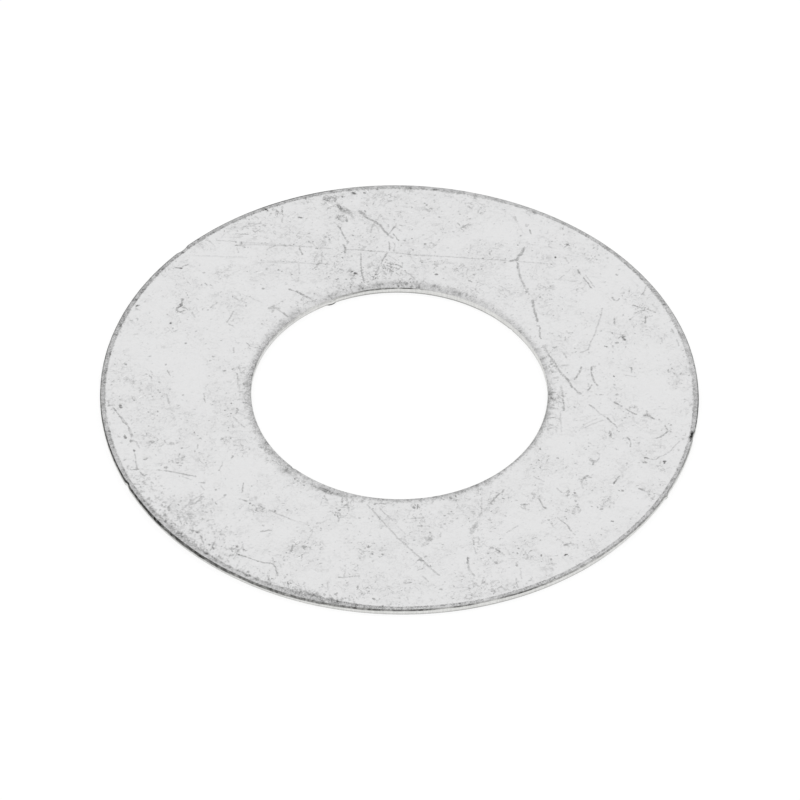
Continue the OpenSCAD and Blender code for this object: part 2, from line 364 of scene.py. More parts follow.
FAR_RIGHT_SCRATCHES = [
    (PLAIN, 0.12, 8.1, 17.9, 8.3, 17.4),
    (FAINT, 0.1, 7.2, 18.7, 8.0, 17.9, 8.4, 17.0, 8.7, 16.2),
    (STRONG, 0.12, 9.16, 16.55, 9.3, 16.1),
    (PLAIN, 0.1, 6.3, 14.25, 6.37, 13.9),
    (STRONG, 0.22, 8.8, 14.73, 8.63, 14.24, 8.41, 13.8, 8.25, 13.36),
    (STRONG, 0.19, 7.75, 13.3, 8.3, 13.36),
    (STRONG, 0.19, 8.3, 13.1, 8.41, 12.48),
    (PLAIN, 0.14, 8.41, 12.48, 8.41, 12.04),
    (STRONG, 0.19, 8.41, 12.04, 8.52, 11.6),
    (PLAIN, 0.14, 8.52, 11.6, 8.58, 11.38),
    (STRONG, 0.18, 8.58, 11.38, 8.8, 10.77),
    (PLAIN, 0.14, 8.88, 10.54, 9.13, 9.98),
    (STRONG, 0.19, 9.38, 9.33, 9.54, 8.17, 9.75, 7.25),
    (PLAIN, 0.1, 13.15, 11.94, 13.8, 10.79),
    (PLAIN, 0.1, 6.47, 14.4, 6.32, 14.0),
    (FAINT, 0.1, 5.22, 11.99, 7.83, 11.79),
    (FAINT, 0.1, 6.62, 11.54, 8.03, 11.49),
    (FAINT, 0.1, 9.33, 11.59, 12.65, 11.39),
    (PLAIN, 0.1, 11.24, 11.54, 11.64, 11.94),
    (STRONG, 0.11, 9.87, 6.67, 9.87, 5.67, 9.95, 5.5),
    (STRONG, 0.17, 10.08, 4.75, 10.33, 4.25, 11.0, 2.83, 11.4, 2.0, 11.92, 1.33, 12.17, 0.7, 12.75, 0.08),
    (PLAIN, 0.1, 10.55, 14.9, 10.8, 14.65),
    (PLAIN, 0.12, 11.87, 15.0, 11.6, 14.75),
    (PLAIN, 0.1, 11.7, 13.7, 11.93, 13.2),
    (PLAIN, 0.09, 10.48, 13.72, 10.75, 13.7),
    (STRONG, 0.12, 12.6, 12.5, 12.8, 12.04),
    (STRONG, 0.11, 13.0, 11.7, 13.58, 10.7),
    (STRONG, 0.12, 15.05, 9.75, 15.15, 9.5, 15.35, 9.45, 15.55, 9.65),
    (STRONG, 0.1, 17.43, 10.94, 17.32, 10.39, 17.1, 10.1),
    (PLAIN, 0.1, 12.04, 11.3, 12.5, 11.3),
    (STRONG, 0.12, 16.5, 9.0, 17.0, 8.8),
    (STRONG, 0.12, 16.85, 8.4, 17.3, 8.5),
    (STRONG, 0.13, 17.5, 8.67, 18.0, 8.42, 18.1, 8.3),
    (STRONG, 0.12, 16.55, 7.85, 16.25, 7.55),
    (STRONG, 0.12, 17.4, 7.9, 17.35, 7.25),
    (PLAIN, 0.1, 17.85, 8.0, 17.4, 7.75),
    (STRONG, 0.14, 15.15, 7.6, 15.2, 7.1),
    (PLAIN, 0.1, 14.33, 8.67, 14.2, 7.67, 14.0, 7.0, 13.8, 6.0, 13.4, 5.0, 13.33, 4.5, 12.75, 4.17),
    (FAINT, 0.15, 14.67, 6.33, 15.9, 5.95),
    (STRONG, 0.12, 15.67, 5.87, 15.46, 5.67),
    (PLAIN, 0.1, 15.04, 4.95, 15.04, 4.7),
    (PLAIN, 0.12, 12.0, 6.12, 12.2, 6.12),
    (PLAIN, 0.12, 11.25, 5.83, 11.4, 5.63),
    (PLAIN, 0.12, 11.6, 4.1, 11.75, 3.6),
    (STRONG, 0.12, 19.2, 6.67, 19.33, 6.25),
    (PLAIN, 0.12, 19.55, 5.67, 19.7, 5.0),
    (FAINT, 0.12, 18.5, 5.8, 18.55, 5.3),
]
RIGHT_SCRATCHES = [
    (PLAIN, 0.15, 11.4, 2.83, 11.9, 2.87),
    (STRONG, 0.14, 12.83, 2.75, 12.58, 2.0, 12.3, 1.5),
    (PLAIN, 0.15, 13.58, 2.83, 13.83, 2.87),
    (STRONG, 0.13, 13.54, 2.75, 13.5, 2.25, 13.75, 1.25, 13.92, 0.96),
    (STRONG, 0.12, 13.54, 0.96, 13.3, 0.46),
    (STRONG, 0.12, 16.33, 2.75, 16.37, 2.25),
    (PLAIN, 0.09, 15.9, 1.96, 16.6, 1.87),
    (STRONG, 0.1, 14.05, 0.0, 14.35, 0.02),
    (STRONG, 0.09, 18.95, 2.6, 18.95, 2.3),
    (STRONG, 0.14, 15.12, -0.7, 15.67, -1.12),
    (STRONG, 0.12, 15.87, -1.3, 16.25, -1.62, 16.67, -1.87),
    (STRONG, 0.14, 17.17, -2.0, 17.4, -1.83, 17.7, -2.17, 17.95, -2.33),
    (PLAIN, 0.1, 16.2, -1.15, 16.2, -1.35),
    (PLAIN, 0.1, 16.53, -1.05, 16.53, -1.25),
    (FAINT, 0.12, 17.8, -1.38, 19.0, -1.25),
    (STRONG, 0.1, 13.37, -1.0, 13.67, -1.25),
    (PLAIN, 0.1, 13.67, -1.25, 14.0, -1.75, 14.58, -2.25),
    (STRONG, 0.11, 14.58, -2.25, 15.3, -3.2),
    (PLAIN, 0.1, 15.0, -2.17, 15.17, -2.58),
    (PLAIN, 0.08, 14.33, -2.5, 13.4, -3.0, 12.8, -3.4),
    (PLAIN, 0.07, 13.9, -2.3, 13.0, -2.95, 12.65, -3.55),
    (FAINT, 0.09, 14.9, -1.9, 13.9, -2.0, 12.9, -2.2),
    (PLAIN, 0.16, 14.83, -3.67, 14.8, -4.1),
    (STRONG, 0.12, 16.0, -4.1, 16.25, -4.75, 16.2, -5.0),
    (STRONG, 0.11, 18.67, -2.9, 18.75, -3.25, 18.83, -3.5, 18.5, -3.92, 18.0, -4.2),
    (PLAIN, 0.1, 20.0, -4.1, 19.5, -4.75, 19.08, -5.33, 18.75, -5.75, 18.25, -6.0),
    (STRONG, 0.12, 17.2, -6.04, 17.6, -6.25, 18.0, -6.25, 18.2, -6.08),
    (PITCH, 0.19, 20.64, -3.55, 20.5, -4.2),
    (PITCH, 0.1, 20.72, -3.3, 20.42, -4.4),
    (STRONG, 0.1, 11.5, -0.5, 11.55, -1.6),
    (PLAIN, 0.09, 11.37, 0.9, 11.5, -0.15),
    (PLAIN, 0.09, 11.0, -0.25, 11.4, -0.42),
    (PLAIN, 0.08, 11.3, -1.83, 11.37, -3.67),
    (STRONG, 0.1, 10.55, 0.2, 10.95, 0.17),
    (STRONG, 0.1, 10.5, -2.3, 10.8, -2.3),
    (PLAIN, 0.1, 10.45, -3.33, 10.7, -3.33),
]
SCRATCHES = (FAR_SCRATCHES + FAR_LEFT_SCRATCHES + LEFT_SCRATCHES + NEAR_LEFT_SCRATCHES
             + NEAR_SCRATCHES + NEAR_RIGHT_SCRATCHES + FAR_RIGHT_SCRATCHES + RIGHT_SCRATCHES)

# Pits and dots: darkness, radius and place
FAR_PITS = [
    (STRONG, 0.12, 0.2, 15.28), (BLACK, 0.13, 2.5, 11.88), (BLACK, 0.12, -3.24, 11.84),
    (STRONG, 0.15, 2.65, 17.72), (FAINT, 0.15, 1.8, 18.42), (STRONG, 0.15, 4.45, 16.78),
    (PLAIN, 0.1, 4.1, 18.37), (STRONG, 0.13, 1.7, 14.9), (PLAIN, 0.18, 2.37, 14.82),
    (PLAIN, 0.1, -2.5, 15.05), (STRONG, 0.09, -2.63, 16.95), (PLAIN, 0.1, -5.45, 15.5),
    (PLAIN, 0.1, -5.2, 15.6), (PLAIN, 0.12, -5.1, 15.3), (STRONG, 0.12, -6.6, 15.03),
    (STRONG, 0.12, -0.88, 12.9), (STRONG, 0.1, -1.7, 12.42), (PLAIN, 0.14, -1.74, 11.74),
    (STRONG, 0.1, -1.05, 13.3), (PLAIN, 0.08, -0.16, 13.28), (STRONG, 0.1, 0.73, 13.77),
    (STRONG, 0.1, 0.25, 12.15), (BLACK, 0.2, -3.45, 20.1), (BLACK, 0.09, -2.68, 20.15),
    (STRONG, 0.11, 4.93, 11.25), (STRONG, 0.1, 5.2, 11.85), (STRONG, 0.14, -3.8, 15.03),
    (PLAIN, 0.1, 1.7, 19.2), (STRONG, 0.12, -4.3, 17.7), (STRONG, 0.14, 2.35, 10.7),
    (STRONG, 0.13, 0.45, 10.68), (STRONG, 0.13, 1.3, 10.75),
]
LEFT_PITS = [
    (STRONG, 0.12, -9.05, 18.25), (STRONG, 0.14, -8.9, 17.95), (PLAIN, 0.12, -8.06, 17.6),
    (STRONG, 0.12, -9.7, 14.7), (PLAIN, 0.1, -9.1, 14.47), (PLAIN, 0.12, -13.87, 15.1),
    (PITCH, 0.12, -15.7, 12.07), (STRONG, 0.14, -14.0, 11.72), (STRONG, 0.12, -13.82, 10.55),
    (STRONG, 0.12, -9.9, 10.58), (BLACK, 0.12, -9.83, 10.2), (PLAIN, 0.12, -7.58, 10.53),
    (PLAIN, 0.12, -17.83, 9.3), (BLACK, 0.14, -15.55, 8.4), (BLACK, 0.15, -18.67, 8.2),
    (BLACK, 0.12, -16.25, 6.57), (PLAIN, 0.12, -17.67, 6.6), (PLAIN, 0.1, -16.4, 5.83),
    (PLAIN, 0.08, -15.8, 5.83), (PLAIN, 0.1, -18.17, 4.5), (PLAIN, 0.08, -17.83, 4.5),
    (STRONG, 0.12, -15.1, 4.58), (STRONG, 0.12, -19.33, 2.42), (PLAIN, 0.12, -19.95, 2.37),
    (STRONG, 0.1, -16.5, 2.37), (STRONG, 0.13, -17.8, 1.46), (PLAIN, 0.15, -18.12, -0.17),
    (BLACK, 0.15, -19.53, -1.72), (BLACK, 0.14, -19.52, -1.88), (STRONG, 0.15, -20.33, -1.67),
    (STRONG, 0.13, -16.12, -1.33), (STRONG, 0.13, -15.12, -0.62), (STRONG, 0.15, -12.33, 1.87),
    (PLAIN, 0.12, -13.58, 7.92), (PLAIN, 0.12, -14.0, 7.96), (PLAIN, 0.12, -9.83, 6.67),
    (STRONG, 0.13, -10.2, 4.2), (BLACK, 0.12, -9.92, 4.3), (STRONG, 0.12, -10.85, 0.6),
    (STRONG, 0.13, -11.3, -2.1), (STRONG, 0.13, -11.3, -2.3), (STRONG, 0.15, -18.82, 7.98),
    (STRONG, 0.14, -8.99, 18.13),
]
NEAR_LEFT_PITS = [
    (BLACK, 0.15, -19.18, -4.68), (BLACK, 0.14, -19.12, -4.86), (STRONG, 0.13, -18.67, -5.2),
    (PLAIN, 0.1, -19.44, -5.37), (BLACK, 0.14, -18.43, -6.15), (STRONG, 0.12, -18.17, -7.85),
    (STRONG, 0.16, -16.12, -7.7), (PLAIN, 0.1, -16.5, -7.5), (STRONG, 0.1, -16.0, -7.25),
    (PLAIN, 0.13, -15.75, -7.08), (STRONG, 0.13, -15.37, -7.2), (PLAIN, 0.15, -15.8, -5.42),
    (PLAIN, 0.18, -13.8, -6.33), (PLAIN, 0.12, -13.46, -4.5), (PLAIN, 0.1, -13.75, -4.83),
    (STRONG, 0.16, -11.58, -6.58), (PLAIN, 0.1, -10.96, -5.92), (STRONG, 0.12, -12.54, -7.96),
    (STRONG, 0.15, -9.54, -5.58), (STRONG, 0.15, -12.62, -9.83), (STRONG, 0.13, -11.92, -10.3),
    (PLAIN, 0.1, -10.42, -10.5), (FAINT, 0.12, -14.33, -10.46), (PLAIN, 0.1, -16.8, -9.58),
    (PLAIN, 0.12, -9.3, -13.2), (STRONG, 0.14, -6.42, -15.25), (STRONG, 0.13, -6.42, -15.4),
    (STRONG, 0.1, -11.37, -15.72), (DEEP, 0.17, -13.82, -14.02), (PLAIN, 0.1, -12.6, -14.4),
    (STRONG, 0.14, -7.5, -18.75), (BLACK, 0.14, -7.26, -18.7), (STRONG, 0.16, -6.63, -19.28),
    (DEEP, 0.16, -5.63, -19.72), (STRONG, 0.12, -10.16, -18.0), (BLACK, 0.1, -10.3, -17.75),
    (BLACK, 0.1, -8.5, -18.3), (STRONG, 0.1, -12.8, -16.3), (BLACK, 0.12, -13.1, -16.0),
    (STRONG, 0.1, -13.8, -15.5), (STRONG, 0.1, -14.5, -14.7), (PLAIN, 0.12, -8.76, -15.7),
    (STRONG, 0.16, -14.15, -13.82), (STRONG, 0.16, -16.13, -12.43), (DEEP, 0.17, -16.03, -13.0),
    (STRONG, 0.2, -15.18, -14.03), (STRONG, 0.14, -6.04, -19.69), (STRONG, 0.14, -4.46, -20.1),
    (STRONG, 0.14, -4.05, -20.2), (STRONG, 0.14, -8.77, -6.83), (STRONG, 0.15, -16.35, -11.33),
    (STRONG, 0.13, -4.13, -19.66), (DEEP, 0.15, -7.14, -8.54), (DEEP, 0.15, -13.12, -16.05),
]
NEAR_PITS = [
    (BLACK, 0.12, 1.72, -16.38), (STRONG, 0.1, 1.5, -16.28), (STRONG, 0.16, 7.0, -15.2),
    (STRONG, 0.1, 7.14, -14.14), (PLAIN, 0.12, 6.48, -13.53), (PLAIN, 0.1, 5.83, -13.3),
    (PLAIN, 0.12, 6.4, -12.36), (PLAIN, 0.15, 3.3, -12.78), (PLAIN, 0.15, 3.73, -12.6),
    (PLAIN, 0.1, 1.2, -11.57), (STRONG, 0.12, 1.08, -11.2), (STRONG, 0.1, 1.2, -10.98),
    (PLAIN, 0.1, 0.55, -11.4), (PLAIN, 0.1, 0.08, -11.24), (STRONG, 0.12, -4.02, -11.57),
    (STRONG, 0.15, -2.43, -10.6), (PLAIN, 0.15, -2.57, -12.33), (PLAIN, 0.12, -3.27, -12.87),
    (PLAIN, 0.1, -1.73, -12.17), (STRONG, 0.12, -2.0, -15.07), (PLAIN, 0.13, -1.64, -16.47),
    (STRONG, 0.08, -1.2, -16.0), (BLACK, 0.14, -1.48, -20.06), (STRONG, 0.1, -3.27, -19.74),
    (STRONG, 0.1, -2.7, -19.92), (PLAIN, 0.1, 0.23, -20.0), (STRONG, 0.1, 1.35, -20.44),
    (BLACK, 0.1, 4.34, -20.4), (STRONG, 0.14, 5.04, -19.0), (PLAIN, 0.14, 3.08, -19.08),
    (PLAIN, 0.1, 5.36, -19.3), (PLAIN, 0.1, 3.78, -19.78), (PLAIN, 0.13, 6.06, -17.3),
    (PLAIN, 0.12, 5.88, -18.24), (PLAIN, 0.15, 6.86, -16.47), (STRONG, 0.1, 1.0, -18.42),
    (STRONG, 0.13, 6.44, -10.75), (PLAIN, 0.14, 1.85, -14.75), (STRONG, 0.13, 2.25, -14.15),
    (PLAIN, 0.12, 2.95, -13.85), (STRONG, 0.12, 3.7, -10.25), (STRONG, 0.12, 4.05, -10.5),
    (STRONG, 0.1, 4.3, -10.25),
]
NEAR_RIGHT_PITS = [
    (STRONG, 0.1, 11.9, -9.45), (STRONG, 0.12, 11.8, -9.87), (STRONG, 0.12, 12.3, -9.68),
    (STRONG, 0.12, 15.4, -9.35), (STRONG, 0.1, 15.6, -9.3), (STRONG, 0.13, 14.14, -11.22),
    (STRONG, 0.1, 13.9, -11.0), (STRONG, 0.12, 13.54, -10.85), (STRONG, 0.1, 11.67, -11.43),
    (STRONG, 0.12, 12.18, -11.6), (STRONG, 0.13, 10.64, -12.58), (PLAIN, 0.12, 10.45, -12.34),
    (BLACK, 0.11, 14.94, -12.4), (PLAIN, 0.12, 11.16, -14.1), (PITCH, 0.12, 11.74, -15.6),
    (PLAIN, 0.12, 7.8, -15.66), (PLAIN, 0.14, 9.38, -14.1), (BLACK, 0.13, 10.87, -17.9),
    (DEEP, 0.14, 17.86, -11.08), (BLACK, 0.14, 15.0, -8.58), (STRONG, 0.15, 17.2, -6.55),
    (BLACK, 0.13, 18.57, -6.45), (BLACK, 0.1, 18.6, -6.62), (STRONG, 0.1, 18.33, -6.92),
    (PLAIN, 0.12, 18.6, -7.4), (STRONG, 0.14, 15.9, -6.7), (STRONG, 0.12, 11.2, -6.25),
    (PLAIN, 0.1, 12.2, -5.85), (PLAIN, 0.12, 11.75, -7.17), (PLAIN, 0.12, 9.47, -9.87),
]
RIGHT_PITS = [
    (BLACK, 0.16, 8.19, 13.36), (STRONG, 0.12, 8.9, 10.22), (PLAIN, 0.1, 9.13, 9.9),
    (STRONG, 0.12, 9.75, 6.75), (PITCH, 0.13, 11.0, 13.74), (STRONG, 0.14, 11.9, 15.05),
    (PLAIN, 0.08, 12.26, 12.86), (PLAIN, 0.08, 12.54, 12.8), (PLAIN, 0.1, 13.47, 13.7),
    (PLAIN, 0.12, 13.8, 13.9), (PLAIN, 0.12, 14.8, 13.85), (STRONG, 0.15, 15.4, 12.1),
    (STRONG, 0.13, 16.27, 10.44), (PLAIN, 0.14, 15.84, 10.22), (PLAIN, 0.12, 12.54, 10.5),
    (PLAIN, 0.12, 12.92, 10.66), (PLAIN, 0.12, 12.04, 16.44), (PLAIN, 0.12, 8.52, 15.9),
    (PLAIN, 0.12, 9.0, 17.0), (BLACK, 0.12, 16.87, 8.83), (PLAIN, 0.1, 17.2, 6.4),
    (PLAIN, 0.1, 14.25, 6.42), (BLACK, 0.15, 15.87, 5.78), (BLACK, 0.13, 15.9, 5.55),
    (STRONG, 0.14, 15.37, 5.13), (BLACK, 0.1, 14.55, 4.83), (BLACK, 0.1, 14.7, 4.82),
    (PLAIN, 0.1, 14.9, 5.55), (PLAIN, 0.1, 15.95, 4.75), (PLAIN, 0.1, 10.45, 6.05),
    (STRONG, 0.1, 10.97, 4.63), (STRONG, 0.1, 11.85, 2.1), (STRONG, 0.13, 10.7, 2.25),
    (BLACK, 0.1, 10.5, 3.25), (STRONG, 0.14, 10.08, 3.55), (BLACK, 0.12, 15.14, 1.87),
    (PLAIN, 0.13, 15.12, 1.0), (PLAIN, 0.15, 15.37, 0.0), (PLAIN, 0.1, 13.8, 0.05),
    (PLAIN, 0.14, 19.4, 2.2), (PLAIN, 0.14, 19.85, 2.25), (PLAIN, 0.12, 17.4, -1.58),
    (STRONG, 0.12, 16.2, -5.0), (PLAIN, 0.13, 16.83, -4.62), (PLAIN, 0.1, 13.33, -4.75),
    (PLAIN, 0.1, 12.0, -4.7), (PLAIN, 0.14, 15.2, -5.33), (STRONG, 0.14, 10.75, -0.4),
    (PLAIN, 0.1, 11.0, -3.5), (BLACK, 0.14, 18.7, 9.1), (PLAIN, 0.15, 7.89, 7.82),
]
PITS = FAR_PITS + LEFT_PITS + NEAR_LEFT_PITS + NEAR_PITS + NEAR_RIGHT_PITS + RIGHT_PITS

# Smudges: darkness, half length, half width, turn in degrees and place
SMUDGES = [
    (DEEP, 0.55, 0.5, 0, -5.2, 19.45), (PLAIN, 0.3, 0.2, 90, -4.2, 17.2),
    (PLAIN, 0.4, 0.3, 0, -4.5, 17.5), (FAINT, 0.3, 0.12, 0, -3.6, 12.2),
    (STRONG, 0.35, 0.3, 0, -3.45, 11.6), (FAINT, 0.3, 0.25, 0, -1.18, 19.5),
    (PLAIN, 0.22, 0.15, 0, -0.53, 19.77), (DEEP, 0.45, 0.28, 0, 0.45, 20.5),
    (PITCH, 0.22, 0.13, 0, 2.36, 20.62), (DEEP, 0.28, 0.18, 25, -3.45, 20.1),
    (STRONG, 0.45, 0.2, -10, 3.3, 20.4), (DEEP, 0.3, 0.18, -10, 5.25, 19.9),
    (FAINT, 0.5, 0.3, 0, -1.6, 20.3), (PITCH, 0.25, 0.18, -25, 9.55, 18.35),
    (STRONG, 0.25, 0.15, -25, 8.45, 18.95), (PLAIN, 0.2, 0.2, 0, 7.05, 14.9),
    (PLAIN, 0.2, 0.15, 0, 14.57, 12.85), (STRONG, 0.3, 0.2, 0, -11.95, 16.35),
    (PLAIN, 0.4, 0.3, 0, -14.35, 14.45), (PLAIN, 0.3, 0.15, 0, -15.55, 12.75),
    (PLAIN, 0.18, 0.15, 0, -12.9, 11.75), (PLAIN, 0.18, 0.15, 0, -12.4, 11.35),
    (FAINT, 0.2, 0.15, 0, -14.4, 11.93), (PLAIN, 0.2, 0.15, 0, -12.07, 9.75),
    (STRONG, 0.25, 0.14, 0, -11.25, 2.17), (STRONG, 0.3, 0.5, 0, -10.7, 0.6),
    (FAINT, 0.2, 0.15, 0, -16.7, 4.12), (FAINT, 0.2, 0.15, 0, -14.17, 5.33),
    (PLAIN, 0.22, 0.2, 0, -12.87, -2.2), (STRONG, 0.35, 0.28, 0, -19.1, 0.88),
    (PLAIN, 0.25, 0.2, -30, -18.75, 0.55), (STRONG, 0.33, 0.28, 0, -12.1, -5.0),
    (STRONG, 0.35, 0.16, 0, 14.56, -10.24), (PLAIN, 0.35, 0.3, 30, 14.47, -10.8),
    (PLAIN, 0.22, 0.18, 0, 13.35, -10.47), (STRONG, 0.3, 0.25, 0, 3.8, -10.4),
    (PLAIN, 0.15, 0.12, 0, 4.2, -10.5), (PLAIN, 0.2, 0.15, 0, -11.56, -13.9),
    (PLAIN, 0.2, 0.15, 0, -12.68, -14.0), (PLAIN, 0.2, 0.15, 0, -12.1, -14.0),
    (STRONG, 0.3, 0.25, 50, 19.5, 1.3), (PLAIN, 0.2, 0.15, 0, 20.0, 0.62),
    (STRONG, 0.25, 0.25, 0, 10.62, 0.1), (STRONG, 0.25, 0.2, 0, 10.75, -0.4),
    (PLAIN, 0.2, 0.25, 0, 10.62, -1.25), (STRONG, 0.25, 0.18, 0, 10.6, -1.9),
    (PLAIN, 0.25, 0.15, 0, 10.55, -2.4), (PLAIN, 0.3, 0.3, 0, 11.35, 0.1),
    (FAINT, 0.4, 0.22, -20, 17.5, -2.05), (FAINT, 0.2, 0.2, 0, 17.42, 4.85),
    (PLAIN, 0.3, 0.12, 0, 6.3, -18.5), (FAINT, 1.2, 0.5, 60, -15.6, -11.6),
    (STRONG, 0.3, 0.15, 0, -16.6, -7.4), (PLAIN, 0.35, 0.2, 20, -15.6, -7.1),
    (FAINT, 0.25, 0.2, 40, -15.0, -6.7), (PLAIN, 0.5, 0.2, 0, -17.3, -5.3),
    (PLAIN, 0.35, 0.15, 0, -15.9, -5.45), (PLAIN, 0.5, 0.45, 0, -9.65, -11.55),
    (PLAIN, 0.5, 0.4, 0, -7.0, -15.3), (STRONG, 0.35, 0.22, -30, -4.95, 9.35),
    (STRONG, 0.45, 0.25, 10, -1.5, 10.75), (STRONG, 0.4, 0.2, 0, -0.2, 10.85),
    (STRONG, 0.35, 0.2, -8, 1.1, 10.8), (STRONG, 0.35, 0.2, -15, 2.3, 10.6),
    (STRONG, 0.4, 0.22, -25, 3.9, 10.1), (PLAIN, 0.4, 0.2, 20, -3.0, 10.5),
    (PITCH, 0.95, 0.2, -28, -4.9, -9.72), (BLACK, 0.6, 0.18, -23, -4.2, -10.03),
    (DEEP, 0.6, 0.22, -33, -5.9, -9.2), (BLACK, 0.6, 0.25, -40, -7.0, -8.62),
    (DEEP, 0.45, 0.16, -44, -7.66, -7.93), (STRONG, 0.5, 0.25, -45, -8.1, -7.9),
    (DEEP, 0.45, 0.16, -20, -3.5, -10.2), (STRONG, 0.35, 0.2, 15, -5.55, -19.75),
    (PLAIN, 0.5, 0.18, 14, -4.6, -20.05), (STRONG, 0.3, 0.18, 5, -0.95, 10.87),
    (STRONG, 0.6, 0.4, 44, -7.45, 7.8), (PLAIN, 0.4, 0.35, 0, -8.97, 8.2),
    (PLAIN, 0.35, 0.32, 0, 12.25, -11.25), (STRONG, 0.25, 0.16, 20, -10.6, -2.74),
    (PLAIN, 0.35, 0.2, 40, -14.35, -13.97), (PLAIN, 0.35, 0.14, 10, -17.5, -6.78),
    (PLAIN, 0.3, 0.18, -40, -5.7, 9.45), (STRONG, 0.25, 0.15, 10, -3.23, 20.31),
    (PLAIN, 0.3, 0.2, -65, 18.22, 8.73),
]

# Spots crowded with specks: how crowded, half width and place
CROWDED = [
    (1.0, 0.8, -5.2, 19.4), (0.7, 0.6, -4.9, 18.6), (0.9, 0.6, -4.3, 17.4), (0.4, 0.7, -5.2, 15.4),
    (1.0, 0.5, -3.5, 11.8), (0.85, 0.8, -0.5, 12.6), (0.8, 0.6, -1.7, 11.6), (0.8, 0.7, 4.5, 16.8),
    (0.7, 0.8, -1.0, 19.6), (0.7, 0.8, 4.8, 19.6), (0.25, 0.7, 2.0, 18.4), (0.6, 0.8, -4.6, 12.8),
    (0.6, 0.7, 4.2, 12.4), (0.7, 0.6, 1.9, 14.8), (0.6, 0.8, 2.8, 13.0), (1.0, 0.7, -8.9, 17.95),
    (0.7, 1.2, -10.8, 16.2), (0.8, 0.8, -13.9, 14.7), (0.45, 1.0, -12.6, 11.6), (0.6, 0.7, -7.7, 13.3),
    (1.0, 0.8, -6.8, 9.0), (0.6, 0.6, -7.7, 17.4), (0.6, 0.7, -15.5, 8.0), (0.6, 0.6, -13.5, 8.3),
    (0.7, 0.6, -16.3, 5.9), (0.8, 0.7, -10.5, 4.4), (0.45, 0.6, -17.7, 1.3), (0.9, 0.6, -11.1, 2.0),
    (0.6, 0.6, -19.7, 2.3), (0.6, 0.7, -19.0, 0.8), (0.45, 0.9, -15.3, -7.0), (0.7, 0.9, -17.0, -5.3),
    (0.7, 0.6, -12.1, -5.0), (0.8, 0.8, -11.0, -6.0), (0.7, 1.2, -17.5, -9.3),
    (0.35, 1.0, -13.8, -10.7), (0.8, 0.5, -16.4, -11.2), (0.9, 0.5, -8.8, -6.9),
    (0.4, 1.3, -14.6, -12.8), (0.6, 0.9, -15.1, -13.4), (0.8, 0.7, -9.6, -11.6),
    (0.7, 0.7, -18.3, -8.3), (0.9, 0.8, -11.1, -15.4), (0.9, 0.6, -13.0, -15.4),
    (0.8, 0.9, -12.3, -14.0), (1.0, 0.7, -7.4, -18.8), (1.0, 0.7, -6.8, -19.3), (1.0, 0.6, -5.8, -19.7),
    (0.5, 0.9, -7.0, -15.2), (0.9, 0.7, -8.7, -18.3), (0.9, 0.7, -10.2, -17.9), (0.6, 0.7, -5.5, -15.1),
    (0.6, 0.7, -7.9, -16.5), (1.0, 0.7, -4.1, -11.8), (0.8, 0.7, -3.4, -11.0), (0.8, 0.6, 1.3, -11.4),
    (0.6, 0.7, 1.4, -12.3), (0.6, 0.6, 3.4, -12.7), (0.5, 0.7, 2.2, -14.3), (0.8, 0.5, 5.3, -13.2),
    (0.8, 1.1, 5.9, -18.6), (0.9, 0.7, 6.9, -18.6), (0.7, 0.9, 5.5, -14.5), (0.8, 0.7, 6.9, -15.2),
    (0.7, 0.7, 1.7, -16.5), (0.6, 0.7, -2.2, -15.1), (0.6, 0.7, -3.3, -17.1), (0.8, 0.8, -2.0, -19.4),
    (0.6, 0.7, 3.9, -19.6), (0.7, 0.8, 6.8, -16.6), (1.0, 0.6, 12.0, -9.7), (1.0, 0.7, 14.5, -10.5),
    (0.8, 0.7, 9.5, -10.0), (0.7, 0.7, 10.5, -12.5), (0.8, 0.6, 12.1, -11.2), (0.8, 0.5, 13.6, -6.5),
    (0.6, 0.6, 13.0, -8.4), (0.9, 0.6, 17.8, -9.8), (0.8, 0.6, 18.5, -6.9), (0.7, 0.5, 15.5, -9.3),
    (0.6, 0.6, 11.9, -14.5), (0.6, 0.7, 9.2, -15.6), (0.5, 0.6, 10.6, -16.8), (0.6, 0.6, 8.8, -11.0),
    (0.9, 0.8, 10.6, -0.5), (0.8, 0.8, 11.4, -0.3), (0.8, 0.6, 10.6, -2.4), (0.8, 0.5, 13.4, 0.7),
    (0.8, 0.7, 17.6, -2.1), (0.7, 0.6, 16.5, -1.4), (0.8, 0.6, 19.4, 1.4), (0.5, 0.6, 19.5, 2.3),
    (0.9, 0.8, 10.6, 2.5), (0.6, 0.6, 14.8, -4.0), (0.6, 0.6, 16.3, -4.6), (0.6, 0.9, 7.2, 10.2),
    (0.8, 0.8, 5.6, 10.3), (0.6, 1.0, 10.3, 10.2), (0.6, 0.7, 12.7, 10.6), (0.7, 0.8, 5.5, 18.8),
    (0.7, 0.7, 9.2, 18.6), (0.5, 0.7, 10.4, 13.5), (0.6, 0.5, 11.8, 15.0), (0.5, 0.7, 13.7, 13.6),
    (0.7, 0.7, 16.2, 9.9), (0.9, 0.8, 17.2, 8.5), (0.6, 0.5, 7.0, 14.9), (0.7, 0.7, 15.3, 5.2),
    (0.7, 0.6, 13.5, 2.5), (0.6, 0.6, 11.8, 5.9), (0.6, 0.8, 9.3, 12.0),
]

